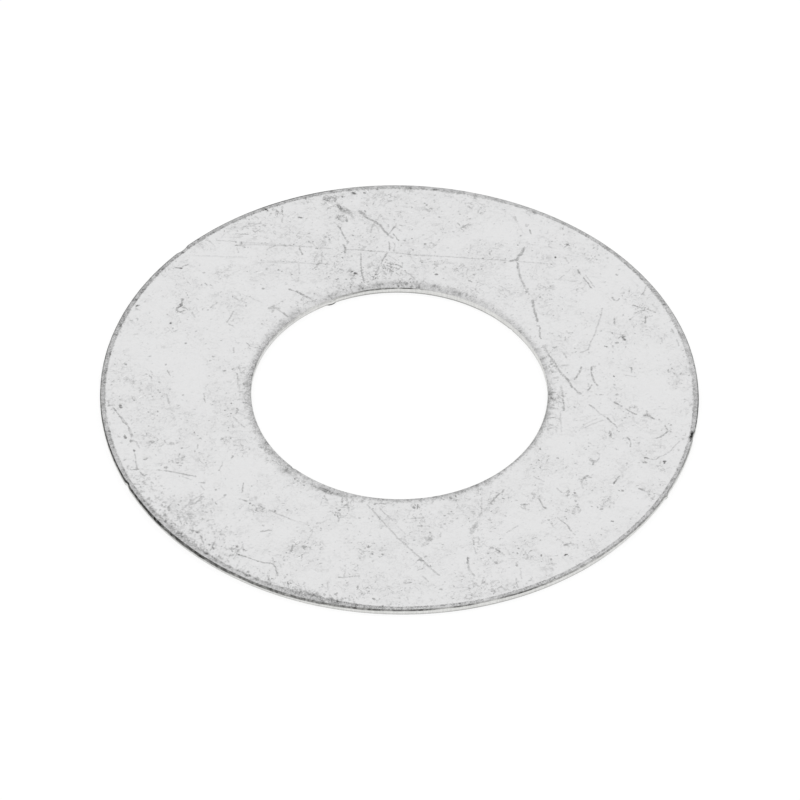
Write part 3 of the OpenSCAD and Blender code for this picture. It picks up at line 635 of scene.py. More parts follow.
# Clean places with few marks: how clean, half width and place
CLEAN = [
    (0.7, 1.4, -15.5, -9.6), (0.7, 1.3, -11.4, -12.4), (0.7, 1.4, -10.4, -7.9), (0.7, 1.6, -14.6, 0.8),
    (0.6, 1.1, -6.5, -10.7), (0.6, 1.2, -4.8, -14.2), (0.6, 1.0, -7.6, -14.0), (0.7, 1.8, 17.5, 1.2),
    (0.7, 1.5, 18.0, 3.6), (0.6, 1.1, 17.3, -7.8), (0.6, 0.9, 14.4, -7.2), (0.6, 1.1, 11.2, -5.1),
    (0.6, 0.9, 10.8, -8.6), (0.6, 1.1, 16.4, -10.6), (0.7, 1.3, 13.4, -12.6), (0.6, 0.9, 10.4, -14.9),
    (0.6, 1.1, 4.0, 15.3), (0.6, 1.4, 7.0, 16.5), (0.7, 1.3, 13.6, 9.4), (0.6, 1.0, -10.4, 7.9),
    (0.6, 1.1, -13.5, 12.9), (0.6, 1.1, -11.0, 13.4), (0.5, 0.6, -14.3, -10.6), (0.5, 0.6, -16.9, 0.7),
]

# Fields of small marks: count, bearings, radii, darkness, length range, lean from the radius in degrees
SCUFF_FIELDS = [
    (170, (207, 262), (20.3, 20.75), STRONG, (0.02, 0.25), 14),
    (50, (207, 262), (19.6, 20.4), PLAIN, (0.02, 0.2), 30),
    (40, (206, 214), (18.6, 20.3), PLAIN, (0.02, 0.15), 40),
    (45, (262, 300), (20.1, 20.75), PLAIN, (0.04, 0.25), 20),
    (45, (216, 227), (17.8, 20.2), PLAIN, (0.1, 0.4), 40),
    (60, (95, 205), (20.0, 20.75), PLAIN, (0.04, 0.3), 60),
    (50, (325, 450), (20.0, 20.75), PLAIN, (0.04, 0.3), 60),
    (80, (60, 118), (10.5, 11.2), STRONG, (0.05, 0.3), 70),
    (60, (200, 258), (10.5, 11.2), PLAIN, (0.05, 0.3), 60),
    (30, (120, 200), (10.5, 11.3), PLAIN, (0.05, 0.4), 40),
    (55, (-22, 15), (10.5, 11.6), PLAIN, (0.1, 0.5), 50),
    (25, (258, 325), (10.5, 11.2), PLAIN, (0.05, 0.35), 30),
]

# The dark line along each cut, painted shade and dark reflection under its turn: bearing, darkness, how far
# above and how far below the turn it reaches
RIM_LINE = [
    (1, 0.8, 0.06, 0.1), (5, 0.5, 0.06, 0.08), (10, 0.48, 0.06, 0.08), (20, 0.42, 0.05, 0.07),
    (30, 0.34, 0.05, 0.07), (50, 0.3, 0.05, 0.07), (70, 0.24, 0.05, 0.07), (90, 0.42, 0.05, 0.07),
    (100, 0.7, 0.06, 0.07), (105, 0.86, 0.11, 0.07), (112, 0.96, 0.12, 0.07), (118, 0.9, 0.11, 0.07),
    (125, 0.66, 0.06, 0.07), (131, 0.66, 0.06, 0.07), (135, 0.7, 0.06, 0.07), (140, 0.54, 0.06, 0.07),
    (148, 0.64, 0.06, 0.07), (155, 0.62, 0.06, 0.07), (162, 0.48, 0.05, 0.07), (175, 0.7, 0.05, 0.08),
    (185, 0.82, 0.05, 0.1), (190, 0.86, 0.05, 0.11), (200, 0.94, 0.05, 0.15), (206, 0.94, 0.05, 0.18),
    (212, 0.94, 0.05, 0.22), (219, 0.91, 0.05, 0.22), (222, 0.9, 0.04, 0.22), (226, 0.78, 0.04, 0.22),
    (230, 0.89, 0.035, 0.22), (234, 0.73, 0.035, 0.22), (238, 0.75, 0.035, 0.21),
    (242, 0.78, 0.035, 0.2), (246, 0.74, 0.03, 0.18), (252, 0.82, 0.025, 0.15), (259, 0.9, 0.025, 0.14),
    (262, 0.88, 0.025, 0.13), (270, 0.74, 0.02, 0.11), (276, 0.8, 0.02, 0.11), (278, 0.52, 0.025, 0.09),
    (279.5, 0.42, 0.03, 0.08), (281, 0.84, 0.02, 0.09), (284, 0.78, 0.02, 0.09),
    (286, 0.38, 0.04, 0.08), (289, 0.42, 0.04, 0.08), (292, 0.74, 0.025, 0.08),
    (296, 0.78, 0.025, 0.08), (301, 0.5, 0.04, 0.08), (308, 0.48, 0.045, 0.09), (320, 0.5, 0.045, 0.09),
    (328, 0.6, 0.04, 0.1), (336, 0.56, 0.045, 0.09), (348, 0.58, 0.06, 0.08), (353, 0.64, 0.06, 0.09),
    (357, 0.72, 0.06, 0.09),
]
HOLE_LINE = [
    (0, 0.2, 0.12, 0.06), (15, 0.1, 0.08, 0.06), (40, 0.06, 0.05, 0.06), (70, 0.14, 0.04, 0.05),
    (78, 0.26, 0.04, 0.05), (83, 0.42, 0.03, 0.06), (86, 0.69, 0.025, 0.07), (88.5, 0.69, 0.025, 0.07),
    (90, 0.5, 0.025, 0.06), (92, 0.72, 0.025, 0.07), (95, 0.7, 0.025, 0.08), (98, 0.7, 0.025, 0.09),
    (103, 0.74, 0.025, 0.09), (105.5, 0.7, 0.025, 0.1), (108, 0.6, 0.025, 0.13),
    (115, 0.34, 0.03, 0.15), (119, 0.32, 0.03, 0.14), (125, 0.16, 0.03, 0.18), (131, 0.24, 0.02, 0.26),
    (140, 0.3, 0.06, 0.2), (155, 0.36, 0.07, 0.14), (170, 0.28, 0.08, 0.08), (185, 0.1, 0.12, 0.06),
    (200, 0.03, 0.14, 0.06), (230, 0.03, 0.16, 0.06), (245, 0.02, 0.16, 0.06), (260, 0.06, 0.16, 0.06),
    (275, 0.1, 0.16, 0.06), (290, 0.14, 0.16, 0.06), (305, 0.14, 0.16, 0.06), (320, 0.24, 0.16, 0.06),
    (335, 0.18, 0.16, 0.06), (350, 0.16, 0.14, 0.06),
]
# Worn grey band beside each cut: bearing, darkness and width
RIM_WEAR = [
    (1, 0.36, 0.43), (7, 0.2, 0.42), (12, 0.28, 0.44), (30, 0.33, 0.4), (50, 0.34, 0.37),
    (70, 0.26, 0.42), (90, 0.36, 0.44), (94.5, 0.24, 0.42), (100, 0.33, 0.42), (109, 0.28, 0.4),
    (116, 0.38, 0.4), (125, 0.34, 0.4), (133, 0.47, 0.42), (140, 0.4, 0.38), (146, 0.45, 0.38),
    (155, 0.47, 0.4), (170, 0.4, 0.39), (185, 0.36, 0.38), (200, 0.32, 0.39), (206, 0.33, 0.36),
    (212, 0.36, 0.41), (218, 0.33, 0.42), (220.3, 0.25, 0.44), (223, 0.36, 0.54), (232, 0.32, 0.42),
    (242, 0.33, 0.44), (246, 0.32, 0.4), (250, 0.27, 0.54), (253, 0.37, 0.56), (256, 0.38, 0.5),
    (259, 0.46, 0.42), (264, 0.4, 0.32), (270, 0.33, 0.29), (276, 0.38, 0.31), (282, 0.32, 0.31),
    (287, 0.27, 0.28), (295, 0.37, 0.3), (305, 0.29, 0.3), (320, 0.33, 0.3), (335, 0.32, 0.31),
    (348, 0.32, 0.34),
]
HOLE_WEAR = [
    (0, 0.26, 0.42), (10, 0.18, 0.5), (30, 0.2, 0.42), (50, 0.19, 0.62), (65, 0.17, 0.85),
    (75, 0.21, 0.85), (83, 0.22, 0.75), (87, 0.14, 0.72), (92, 0.17, 0.85), (98, 0.18, 0.78),
    (104, 0.2, 0.75), (108, 0.09, 0.75), (112, 0.1, 0.75), (116, 0.2, 0.75), (125, 0.09, 0.55),
    (132, 0.14, 0.52), (140, 0.25, 0.6), (155, 0.29, 0.5), (170, 0.37, 0.5), (183, 0.28, 0.6),
    (187, 0.3, 0.6), (191, 0.15, 0.5), (196, 0.25, 0.6), (201, 0.31, 0.58), (206, 0.26, 0.55),
    (211, 0.34, 0.7), (216, 0.2, 0.75), (221, 0.29, 0.85), (226, 0.34, 0.85), (231, 0.14, 0.5),
    (236, 0.16, 0.5), (241, 0.22, 0.65), (246, 0.2, 0.65), (260, 0.25, 0.42), (275, 0.27, 0.42),
    (290, 0.27, 0.5), (297, 0.25, 0.48), (305, 0.31, 0.52), (320, 0.26, 0.25), (335, 0.28, 0.44),
    (350, 0.29, 0.38),
]
# How far each edge lies from its full circle: bearing and distance outwards
RIM_ROUND = [
    (15, 0.03), (45, -0.012), (75, -0.085), (105, -0.036), (135, 0.0), (165, -0.047), (185, -0.05),
    (195, -0.06), (225, -0.046), (255, -0.024), (285, -0.037), (315, -0.07), (335, -0.06),
    (348, -0.035), (357, -0.008),
]
HOLE_ROUND = [
    (15, 0.056), (45, 0.01), (75, 0.035), (105, 0.04), (135, 0.004), (165, 0.002), (185, 0.003),
    (200, 0.03), (225, 0.086), (255, 0.068), (285, 0.034), (315, 0.034), (345, 0.032),
]
# How far the torn foot of the rim draws back further: bearing and distance
RIM_TORN = [(295, 0.0), (308, 0.0), (318, 0.045), (328, 0.08), (336, 0.07), (350, 0.02), (360, 0.0)]
# Darkness of the torn foot of each cut by bearing: the rough torn metal with painted contact shadow, and
# painted shadow under the hole's burr between 116.6 and 119.3 degrees
RIM_FOOT_AND_SHADOW = [(200, 0.1), (260, 0.18), (272, 0.2), (285, 0.34), (300, 0.25), (330, 0.15)]
HOLE_FOOT_AND_SHADOW = [
    (20, 0.2), (50, 0.34), (65, 0.46), (105, 0.42), (112, 0.3), (116, 0.28), (116.6, 0.9), (119.3, 0.9),
    (120, 0.24), (125, 0.2), (150, 0.2),
]
# Notches and burrs along the cuts: bearing, half width in degrees, and how far they move the edge outwards
RIM_NICKS = [(138, 1.5, -0.1), (206.1, 0.8, -0.09), (332.8, 0.6, 0.1), (349.4, 1.3, -0.05)]
HOLE_NICKS = [(118.0, 2.0, -0.1), (226, 1.0, 0.05), (41, 0.8, 0.04)]

# Scattered marks of the scuff fields: seed, shares of the drawn length and darkness, and width
SCATTER_SEED = 41
SCATTER_LENGTH = (0.4, 1.0)
SCATTER_DARK = (0.4, 1.1)
SCATTER_WIDTH = (0.09, 0.16)
# Part of a pit's radius that its slope is measured in, where that slope ends and how far it is looked for
PIT_MIDDLE = 0.9
PIT_SIDE = 1.35
PIT_REACH = 2
# Where the soft side of a smudge ends, in its half lengths
SMUDGE_SIDE = 1.2
# Where a soft round spot begins to fade, where it is gone and how far it is looked for, in its half widths
SPOT_FADE = (0.3, 1.25)
SPOT_REACH = 1.3
# Cells of this size are split only for pits and clear scratches, the next size not for crowded spots
FINE_CELL = 2
MIDDLE_CELL = 4
# Parts of a scratch's width and of a cell's side within which the cell counts as crossed
CROSSED_WIDTH = 0.6
CROSSED_CELL = 0.62
# Depth below the top face down to which the sheet carries marks
MARKED_DEPTH = 0.13
# Random values that the blotches repeat after, each way
BLOTCH_TABLE = 64
# Shake that makes marks uneven: blotch size, seeds, and reach for lines and for pits
SHAKE_BLOTCH = 0.24
SHAKE_SEEDS = (21, 22)
LINE_SHAKE = 0.07
PIT_SHAKE = 0.2
# Blotches of more and less scuffing: size, seed, least level and spread
SCUFF_BLOTCH = 3.0
SCUFF_SEED = 31
SCUFF_LEAST = 0.6
SCUFF_SPREAD = 0.8
# Where the hole's worn band starts and how it fades, against 0 and 1 for the rim, and the most for both
HOLE_WEAR_START = 0.8
HOLE_WEAR_FADE = 0.27
WEAR_FAR_MOST = 2.0
# How ragged the inner side of the rim's band is: widths of the band, and the raggedness at each
BAND_WIDTHS = (0.38, 0.5)
BAND_LOOSE = (0.35, 1.3)
# Wavering round the ring: waves in one turn, and its share in the dark line's level, its depth and the cuts
WAVES = (5, 9, 14, 23, 37, 61, 97, 151)
LINE_WAVER = 0.12
DEPTH_WAVER = 0.15
CUT_WAVER = 0.006
# Seeds of those waverings, with one for each cut
LINE_SEED, DEPTH_SEED = 3, 5
RIM_SEED, HOLE_SEED = 17, 19
# Distances from a cut over which its out-of-round and its notches fade, and that the torn foot takes along
ROUND_FADE = (0.5, 2.5)
NICK_FADE = 0.4
TORN_REACH = 0.1
# Angle in degrees above which an edge of the mesh stays sharp
SHARP_EDGE = 50
# Unrolled map of the ring: half its width, and the gap round the underside
MAP_HALF = 0.495
MAP_GAP = 0.4

# Colours of the clean sheet, the cut, and the dark end for dirt, marks and painted shade, as plain linear
# values
SHEET_COLOUR = (0.847, 0.847, 0.85)
CUT_COLOUR = (0.87, 0.87, 0.855)
DIRT_AND_SHADE_COLOUR = (0.012, 0.012, 0.010)
# Shade of the bare sheet, below the full brightness of what is rubbed clean
BARE_SHADE = 0.95
# How scuffed the face is by bearing
SCUFFED = [
    (0, 1.0), (45, 0.85), (70, 1.05), (90, 1.5), (110, 1.45), (130, 0.85), (165, 0.75), (190, 1.1),
    (225, 1.1), (255, 1.0), (285, 1.15), (330, 1.0),
]
# Small marks strewn all over: turn, stretch, cells per millimetre, size, share of cells and strength
STREWN = [
    (10, 1.3, 0.8, 0.17, 0.4, 0.1),
    (0, 1.0, 1.2, 0.09, 0.5, 0.38),
    (25, 1.8, 2.6, 0.055, 0.45, 0.34),
    (-3, 12.0, 1.2, 0.042, 0.35, 0.2),
    (62, 9.0, 1.0, 0.042, 0.3, 0.24),
    (-58, 9.0, 1.0, 0.042, 0.3, 0.24),
    (88, 8.0, 0.9, 0.042, 0.3, 0.2),
]
# Specks of the crowded spots: turn, stretch, cells per millimetre, size and share of cells
CROWD_SPECKS = (35, 1.5, 3.6, 0.065, 0.6)
CROWD_STRENGTH = 0.33
# Fine dark hairs: windings per millimetre and half width
HAIRS = [(1.7, 0.035), (2.6, 0.03)]
# Bright hairs rubbed clean: turn, stretch, cells per millimetre, size, share of cells and strength
BRIGHT_HAIRS = [
    (-42, 10.0, 1.3, 0.045, 0.45, 0.95),
    (38, 9.0, 1.3, 0.045, 0.45, 0.95),
    (-5, 10.0, 1.2, 0.045, 0.4, 0.95),
]
# Clouds of the finish: scale per millimetre, detail and roughness, of which the winding takes the last two
WORKED_CLOUD = (0.55, 3.0, 0.6)
HAZE_CLOUD = (1.8, 6.0, 0.8)
GRAIN_CLOUD = (6.5, 3.0, 0.8)
RAGGED_CLOUD = (7.0, 4.0, 0.8)
PATCH_CLOUD = (2.4, 3.0, 0.6)
SPECKLE_CLOUD = (11.0, 3.0, 0.75)
BEAD_CLOUD = (4.2, 3.0, 0.7)
HAIR_CLOUD = (2.6, 2.0, 0.6)
HAIR_WINDING = (1.0, 0.5)
LINE_CLOUD = (3.0, 5.0, 0.7)
DRAW_CLOUD = (9.0, 3.0, 0.6)
# Shakes of the strewn marks, coarse and fine: scale per millimetre and reach
COARSE_SHAKE = (2.5, 0.35)
FINE_SHAKE = (8.0, 0.16)
# Ramps of the finish: the range taken, then the range given where it isn't 0 to 1
WORKED_RAMP = (0.4, 0.62, 0.45, 1.25)
HAZE_RAMP = (0.48, 0.72, 0.0, 0.03)
GRAIN_RAMP = (0.25, 0.75, 1.0, 0.0)
GRAIN_DEPTH_RAMP = (0.2, 1.6, 0.04, 0.12)
MARK_RAMP = (0.28, 0.8)
BEAD_RAMP = (0.36, 0.6, 0.5, 1.25)
HAIR_RAMP = (0.48, 0.56)
CRUMBLE_RAMP = (0.4, 0.6)
BAND_RAMP = (1.15, 0.85)
CREASE_RISE = (0.6, 0.85, 0.0, 0.25)
CREASE_FALL = (1.1, 0.95)
BAND_PATCHES = (0.3, 0.7, 0.6, 1.3)
BAND_SPECKLES = (0.34, 0.66, 0.45, 1.5)
LINE_BREAKS = (0.34, 0.6)
DRAW_RAMP = (0.25, 0.75, 0.86, 1.05)
FACE_ROUGHNESS = (0.3, 1.0, 0.6, 0.36)
CUT_ROUGHNESS = (0.2, 0.8, 0.4, 0.55)
# Part of a speck's or hair's half width, and of the share of cells, that is at full strength
FULL_PART = 0.3
# How far the ragged cloud moves the sides of the marks and of the worn band
MARK_RAGGED = 2.3
BAND_RAGGED = 2.0
# What a crowded spot adds to the use of the sheet, and how dark hairs are in it and where the sheet is used
CROWDED_USE = 0.12
CROWDED_HAIRS = 0.17
USED_HAIRS = 0.09
# The painted line of shade and dark reflection under the turn: where it is full above the turn, where it
# ends below it, and its least and most level
LINE_FULL = 0.2
LINE_END = (1.6, 0.9)
LINE_LEAST = 0.8
LINE_MOST = 1.1
# Bumps: distance and strength
FACE_BUMP = (0.002 * MM, 0.4)
CUT_BUMP = (0.004 * MM, 0.5)
# Squeeze of the cut's cloud along the axis, which makes upright lines, and the blend at its torn foot
DRAW_SQUEEZE = (1.0, 1.0, 0.12)
TEAR_BLEND = 0.05

# Floor: half width in metres, gap under the ring in millimetres, its greys and its glow
FLOOR_HALF = 4.0
FLOOR_GAP = 0.004
PALE_FLOOR = (0.8, 0.8, 0.8, 1.0)
SHADED_FLOOR = (0.3, 0.3, 0.3, 1.0)
FLOOR_GLOW = 0.74
# Light from the horizon up: the range of heights, and the strength at each end
SKY_RAMP = (0.0, 0.5, 0.6, 1.0)


def smooth_step(value, low, high):
    """Rises from 0 at low to 1 at high, with soft ends."""
    share = np.clip((value - low) / (high - low), 0.0, 1.0)
    return share * share * (3.0 - 2.0 * share)


def patchy(x, y, blotch, seed):
    """Smooth random values from 0 to 1 over the plane, in blotches of the given size."""
    table = np.random.default_rng(seed).random((BLOTCH_TABLE, BLOTCH_TABLE))
    u, v = x / blotch, y / blotch
    i, j = np.floor(u).astype(int), np.floor(v).astype(int)
    a, b = smooth_step(u - i, 0.0, 1.0), smooth_step(v - j, 0.0, 1.0)
    i, j, k, m = (place % BLOTCH_TABLE for place in (i, j, i + 1, j + 1))
    near = table[i, j] * (1 - a) + table[k, j] * a
    far = table[i, m] * (1 - a) + table[k, m] * a
    return near * (1 - b) + far * b


def by_bearing(entries, bearing, column):
    """Reads one column of a list that is kept by bearing, all the way round."""
    at = np.array([entry[0] for entry in entries], float)
    value = np.array([entry[column] for entry in entries], float)
    return np.interp(bearing, at, value, period=360.0)


def edge_rows(land_r, side, shoulder):
    """Rows of one cut from the flat face to its foot: radius, height and length along the section."""
    width, slope, turn_r = shoulder["width"], shoulder["slope"], shoulder["turn_r"]
    shoulder_r = turn_r + (width - turn_r) / math.sin(math.radians(slope))
    land_top = SHEET_T - shoulder_r + (shoulder_r - turn_r) * math.cos(math.radians(slope))
    rows = [(width + margin, SHEET_T) for margin in MARGIN_ROWS]
    for step in range(1, SHOULDER_STEPS + 1):
        lean = math.radians(slope * step / SHOULDER_STEPS)
        rows.append((width - shoulder_r * math.sin(lean), SHEET_T - shoulder_r * (1 - math.cos(lean))))
    for step in range(1, TURN_STEPS + 1):
        lean = math.radians(slope + (90 - slope) * step / TURN_STEPS)
        rows.append((turn_r * (1 - math.sin(lean)), land_top + turn_r * math.cos(lean)))
    rows += [(0.0, (land_top + TEAR_H) / 2), (0.0, TEAR_H), (TEAR_BACK, 0.0)]
    along = 0.0
    placed = []
    for number, (inset, height) in enumerate(rows):
        if number:
            along += math.dist((inset, height), rows[number - 1])
        placed.append((land_r - side * inset, height, along))
    return placed


def points_of(scratch):
    """The points along a scratch as a list of X and Y pairs."""
    numbers = scratch[2:]
    return list(zip(numbers[0::2], numbers[1::2]))


def scattered_marks():
    """Short scratches of the scuff fields, each laid at random in its field."""
    rng = np.random.default_rng(SCATTER_SEED)
    marks = []
    for count, bearings, radii, dark, lengths, lean in SCUFF_FIELDS:
        for _ in range(count):
            bearing = math.radians(rng.uniform(*bearings))
            radius = rng.uniform(*radii)
            length = rng.uniform(*lengths) * rng.uniform(*SCATTER_LENGTH)
            turn = bearing + math.radians(rng.normal(0.0, lean))
            x, y = radius * math.cos(bearing), radius * math.sin(bearing)
            dx, dy = length / 2 * math.cos(turn), length / 2 * math.sin(turn)
            width = rng.uniform(*SCATTER_WIDTH)
            level = dark * rng.uniform(*SCATTER_DARK)
            marks.append((level, width, x - dx, y - dy, x + dx, y + dy))
    return marks


def distance_to_line(x, y, points):
    """Distance of each place to a line of points."""
    nearest = np.full(x.shape, 1e9)
    for (ax, ay), (bx, by) in zip(points, points[1:]):
        run = (bx - ax) ** 2 + (by - ay) ** 2
        along = np.clip(((x - ax) * (bx - ax) + (y - ay) * (by - ay)) / max(run, 1e-9), 0.0, 1.0)
        off = np.hypot(x - ax - along * (bx - ax), y - ay - along * (by - ay))
        nearest = np.minimum(nearest, off)
    return nearest


def close_by(x, y, points, reach):
    """Numbers of the places that lie in the box round some points, widened by a reach."""
    across = [point[0] for point in points]
    deep = [point[1] for point in points]
    inside = (x > min(across) - reach) & (x < max(across) + reach)
    inside &= (y > min(deep) - reach) & (y < max(deep) + reach)
    return np.flatnonzero(inside)


def mark_fields(x, y, loose_x, loose_y):
    """Nearness to the middle of the strongest scratch or pit, above 1 in dark pits, and its darkness."""
    nearness = np.zeros(x.shape)
    dark_at = np.zeros(x.shape)

    def lay(near, close, dark):
        stronger = close * dark > nearness[near] * dark_at[near]
        nearness[near[stronger]] = close[stronger]
        dark_at[near[stronger]] = dark

    for scratch in ALL_SCRATCHES:
        points = points_of(scratch)
        width = max(scratch[1], FINEST_MARK)
        near = close_by(x, y, points, width)
        if near.size:
            off = distance_to_line(x[near], y[near], points) / width
            lay(near, np.clip(1.0 - off, 0.0, 1.0), scratch[0] * scratch[1] / width)
    for dark, radius, px, py in PITS:
        near = close_by(x, y, [(px, py)], radius * PIT_REACH)
        off = np.hypot(loose_x[near] - px, loose_y[near] - py) / (radius * PIT_MIDDLE)
        lay(near, np.clip(PIT_SIDE - off, 0.0, 1.0) * (1.0 + max(dark - STRONG, 0.0)), dark)
    return nearness, dark_at


def smudge_depth(x, y):
    """How dark the soft smudges are at each place, from 0 to 1."""
    found = np.zeros(x.shape)
    for dark, long, short, turn, px, py in SMUDGES:
        near = close_by(x, y, [(px, py)], long * SMUDGE_SIDE)
        c, s = math.cos(math.radians(turn)), math.sin(math.radians(turn))
        dx, dy = x[near] - px, y[near] - py
        off = np.hypot((dx * c + dy * s) / long, (dy * c - dx * s) / short)
        found[near] = np.maximum(found[near], dark * np.clip(SMUDGE_SIDE - off, 0.0, 1.0))
    return found


def spotted(x, y, spots):
    """How far each place lies inside soft round spots, from 0 to 1."""
    found = np.zeros(x.shape)
    for level, half, px, py in spots:
        near = close_by(x, y, [(px, py)], half * SPOT_REACH)
        off = np.hypot(x[near] - px, y[near] - py) / half
        found[near] = np.maximum(found[near], level * (1.0 - smooth_step(off, *SPOT_FADE)))
    return found


def touched(x, y, reach, size):
    """Whether cells of a size are split for a mark within reach. Softer marks stay in larger cells."""
    hit = np.zeros(x.shape, bool)
    for scratch in ALL_SCRATCHES:
        if size <= FINE_CELL and scratch[0] <= FAINT:
            continue
        points = points_of(scratch)
        width = max(scratch[1], FINEST_MARK)
        near = close_by(x, y, points, reach + width)
        if near.size:
            hit[near] |= distance_to_line(x[near], y[near], points) < reach + width * CROSSED_WIDTH
    for _, radius, px, py in PITS:
        near = close_by(x, y, [(px, py)], reach + radius)
        hit[near] |= np.hypot(x[near] - px, y[near] - py) < reach + radius
    spots = [(smudge[1], smudge[4], smudge[5]) for smudge in SMUDGES if size > FINE_CELL]
    spots += [spot[1:] for spot in CROWDED if size > MIDDLE_CELL]
    for half, px, py in spots:
        near = close_by(x, y, [(px, py)], reach + half)
        hit[near] |= np.hypot(x[near] - px, y[near] - py) < reach + half
    return hit


# Worked out from the sizes and the marks
ALL_SCRATCHES = SCRATCHES + scattered_marks()
RIM_ROWS = edge_rows(RIM_R, 1, RIM_SHOULDER)
HOLE_ROWS = edge_rows(HOLE_R, -1, HOLE_SHOULDER)
FACE_IN_R = HOLE_ROWS[0][0]
FACE_OUT_R = RIM_ROWS[0][0]
TURN_ROW = len(MARGIN_ROWS) + SHOULDER_STEPS - 1
MARK_SCALE = MARKS_RIM_R / RIM_R


def face_place(step, row):
    """X and Y of a lattice place on the face, in millimetres."""
    bearing = step * (2 * math.pi / AROUND)
    radius = FACE_IN_R + (FACE_OUT_R - FACE_IN_R) * row / ACROSS
    return radius * np.cos(bearing), radius * np.sin(bearing)


def face_cells():
    """Cells of the face, split again and again where a mark crosses them: step, row and size."""
    step, row = np.meshgrid(np.arange(0, AROUND, COARSE), np.arange(0, ACROSS, COARSE))
    step, row = step.ravel(), row.ravel()
    size = COARSE
    cells = []
    while True:
        if size == 1:
            split = np.zeros(step.shape, bool)
        else:
            x, y = face_place(step + size / 2, row + size / 2)
            side = size * max(FACE_OUT_R * 2 * math.pi / AROUND, (FACE_OUT_R - FACE_IN_R) / ACROSS)
            split = touched(x * MARK_SCALE, y * MARK_SCALE, CROSSED_CELL * side, size)
        cells += [(int(i), int(j), size) for i, j in zip(step[~split], row[~split])]
        if size == 1:
            return cells
        size //= 2
        step, row = step[split], row[split]
        step = np.concatenate([step, step + size, step, step + size])
        row = np.concatenate([row, row, row + size, row + size])


def cell_outline(number, step, row, wide, deep):
    """Vertex numbers round one cell, with those that its finer neighbours put on its sides."""
    places = [(step, row + k) for k in range(deep)]
    places += [(step + k, row + deep) for k in range(wide)]
    places += [(step + wide, row + deep - k) for k in range(deep)]
    places += [(step + wide - k, row) for k in range(wide)]
    found = [number[j, i % AROUND] for i, j in places]
    return [int(v) for v in found if v >= 0]


class RingMesh:
    """Vertices and faces of the ring while it is being built, in millimetres."""

    def __init__(self):
        self.x = []
        self.y = []
        self.z = []
        self.unrolled = []
        self.count = 0
        self.faces = []
        self.kinds = []

    def add(self, radius, step, height, unrolled):
        """Adds vertices at polar places and gives their numbers."""
        bearing = step * (2 * math.pi / AROUND)
        self.x.append(radius * np.cos(bearing))
        self.y.append(radius * np.sin(bearing))
        self.z.append(np.full(step.shape, height, float))
        self.unrolled.append(np.broadcast_to(unrolled, step.shape).astype(float))
        first = self.count
        self.count += step.size
        return np.arange(first, self.count)

    def cover(self, outlines, kind):
        """Adds faces of one kind."""
        self.faces += outlines
        self.kinds += [kind] * len(outlines)


def build_face(ring):
    """The top face between the two margins."""
    cells = face_cells()
    needed = np.zeros((ACROSS + 1, AROUND), bool)
    needed[0, :] = True
    needed[ACROSS, :] = True
    for step, row, size in cells:
        for i in (step, (step + size) % AROUND):
            needed[row, i] = True
            needed[row + size, i] = True
    number = np.full(needed.shape, -1)
    row, step = np.nonzero(needed)
    radius = FACE_IN_R + (FACE_OUT_R - FACE_IN_R) * row / ACROSS
    number[row, step] = ring.add(radius, step, SHEET_T, radius)
    ring.cover([cell_outline(number, i, j, size, size) for i, j, size in cells], TOP)
    return number


def build_cut(ring, rows, side, first):
    """One margin with its shoulder and cut, row by row down to the foot."""
    steps = np.arange(AROUND)
    after = np.roll(steps, -1)
    upper = first
    for place in range(1, len(rows)):
        radius, height, along = rows[place]
        lower = ring.add(radius, steps, height, rows[0][0] + side * along)
        quads = np.stack([upper, lower, lower[after], upper[after]], axis=1)
        if side < 0:
            quads = quads[:, ::-1]
        ring.cover(quads.tolist(), TOP if place <= TURN_ROW else CUT)
        upper = lower
    return upper


def build_under(ring, hole_foot, rim_foot):
    """The bottom face between the two feet."""
    number = np.full((UNDER_ROWS + 1, AROUND), -1)
    number[0] = hole_foot
    number[UNDER_ROWS] = rim_foot
    coarse = np.arange(0, AROUND, COARSE)
    inner, outer = HOLE_ROWS[-1][0], RIM_ROWS[-1][0]
    for row in range(1, UNDER_ROWS):
        radius = inner + (outer - inner) * row / UNDER_ROWS
        number[row, coarse] = ring.add(radius, coarse, 0.0, radius)
    outlines = []
    for row in range(UNDER_ROWS):
        for step in coarse:
            outlines.append(cell_outline(number, step, row, COARSE, 1)[::-1])
    ring.cover(outlines, UNDER)


def nick_shift(nicks, bearing):
    """How far the notches and burrs of a cut move its edge outwards at each bearing."""
    shift = np.zeros(bearing.shape)
    for middle, half_width, outwards in nicks:
        off = (bearing - middle + 180.0) % 360.0 - 180.0
        shift += outwards * np.clip(1.0 - (off / half_width) ** 2, 0.0, 1.0)
    return shift


def waver(bearing, seed):
    """A slow uneven line round the ring, about -1 to 1."""
    rng = np.random.default_rng(seed)
    line = np.zeros(bearing.shape)
    for waves in WAVES:
        start = rng.uniform(0, 2 * math.pi)
        line += math.sqrt(WAVES[0] / waves) * np.sin(np.radians(bearing) * waves + start)
    return line * 0.5


def turn_place(rows, side):
    """Where the turn of a cut begins on the unrolled section."""
    return rows[0][0] + side * rows[TURN_ROW][2]


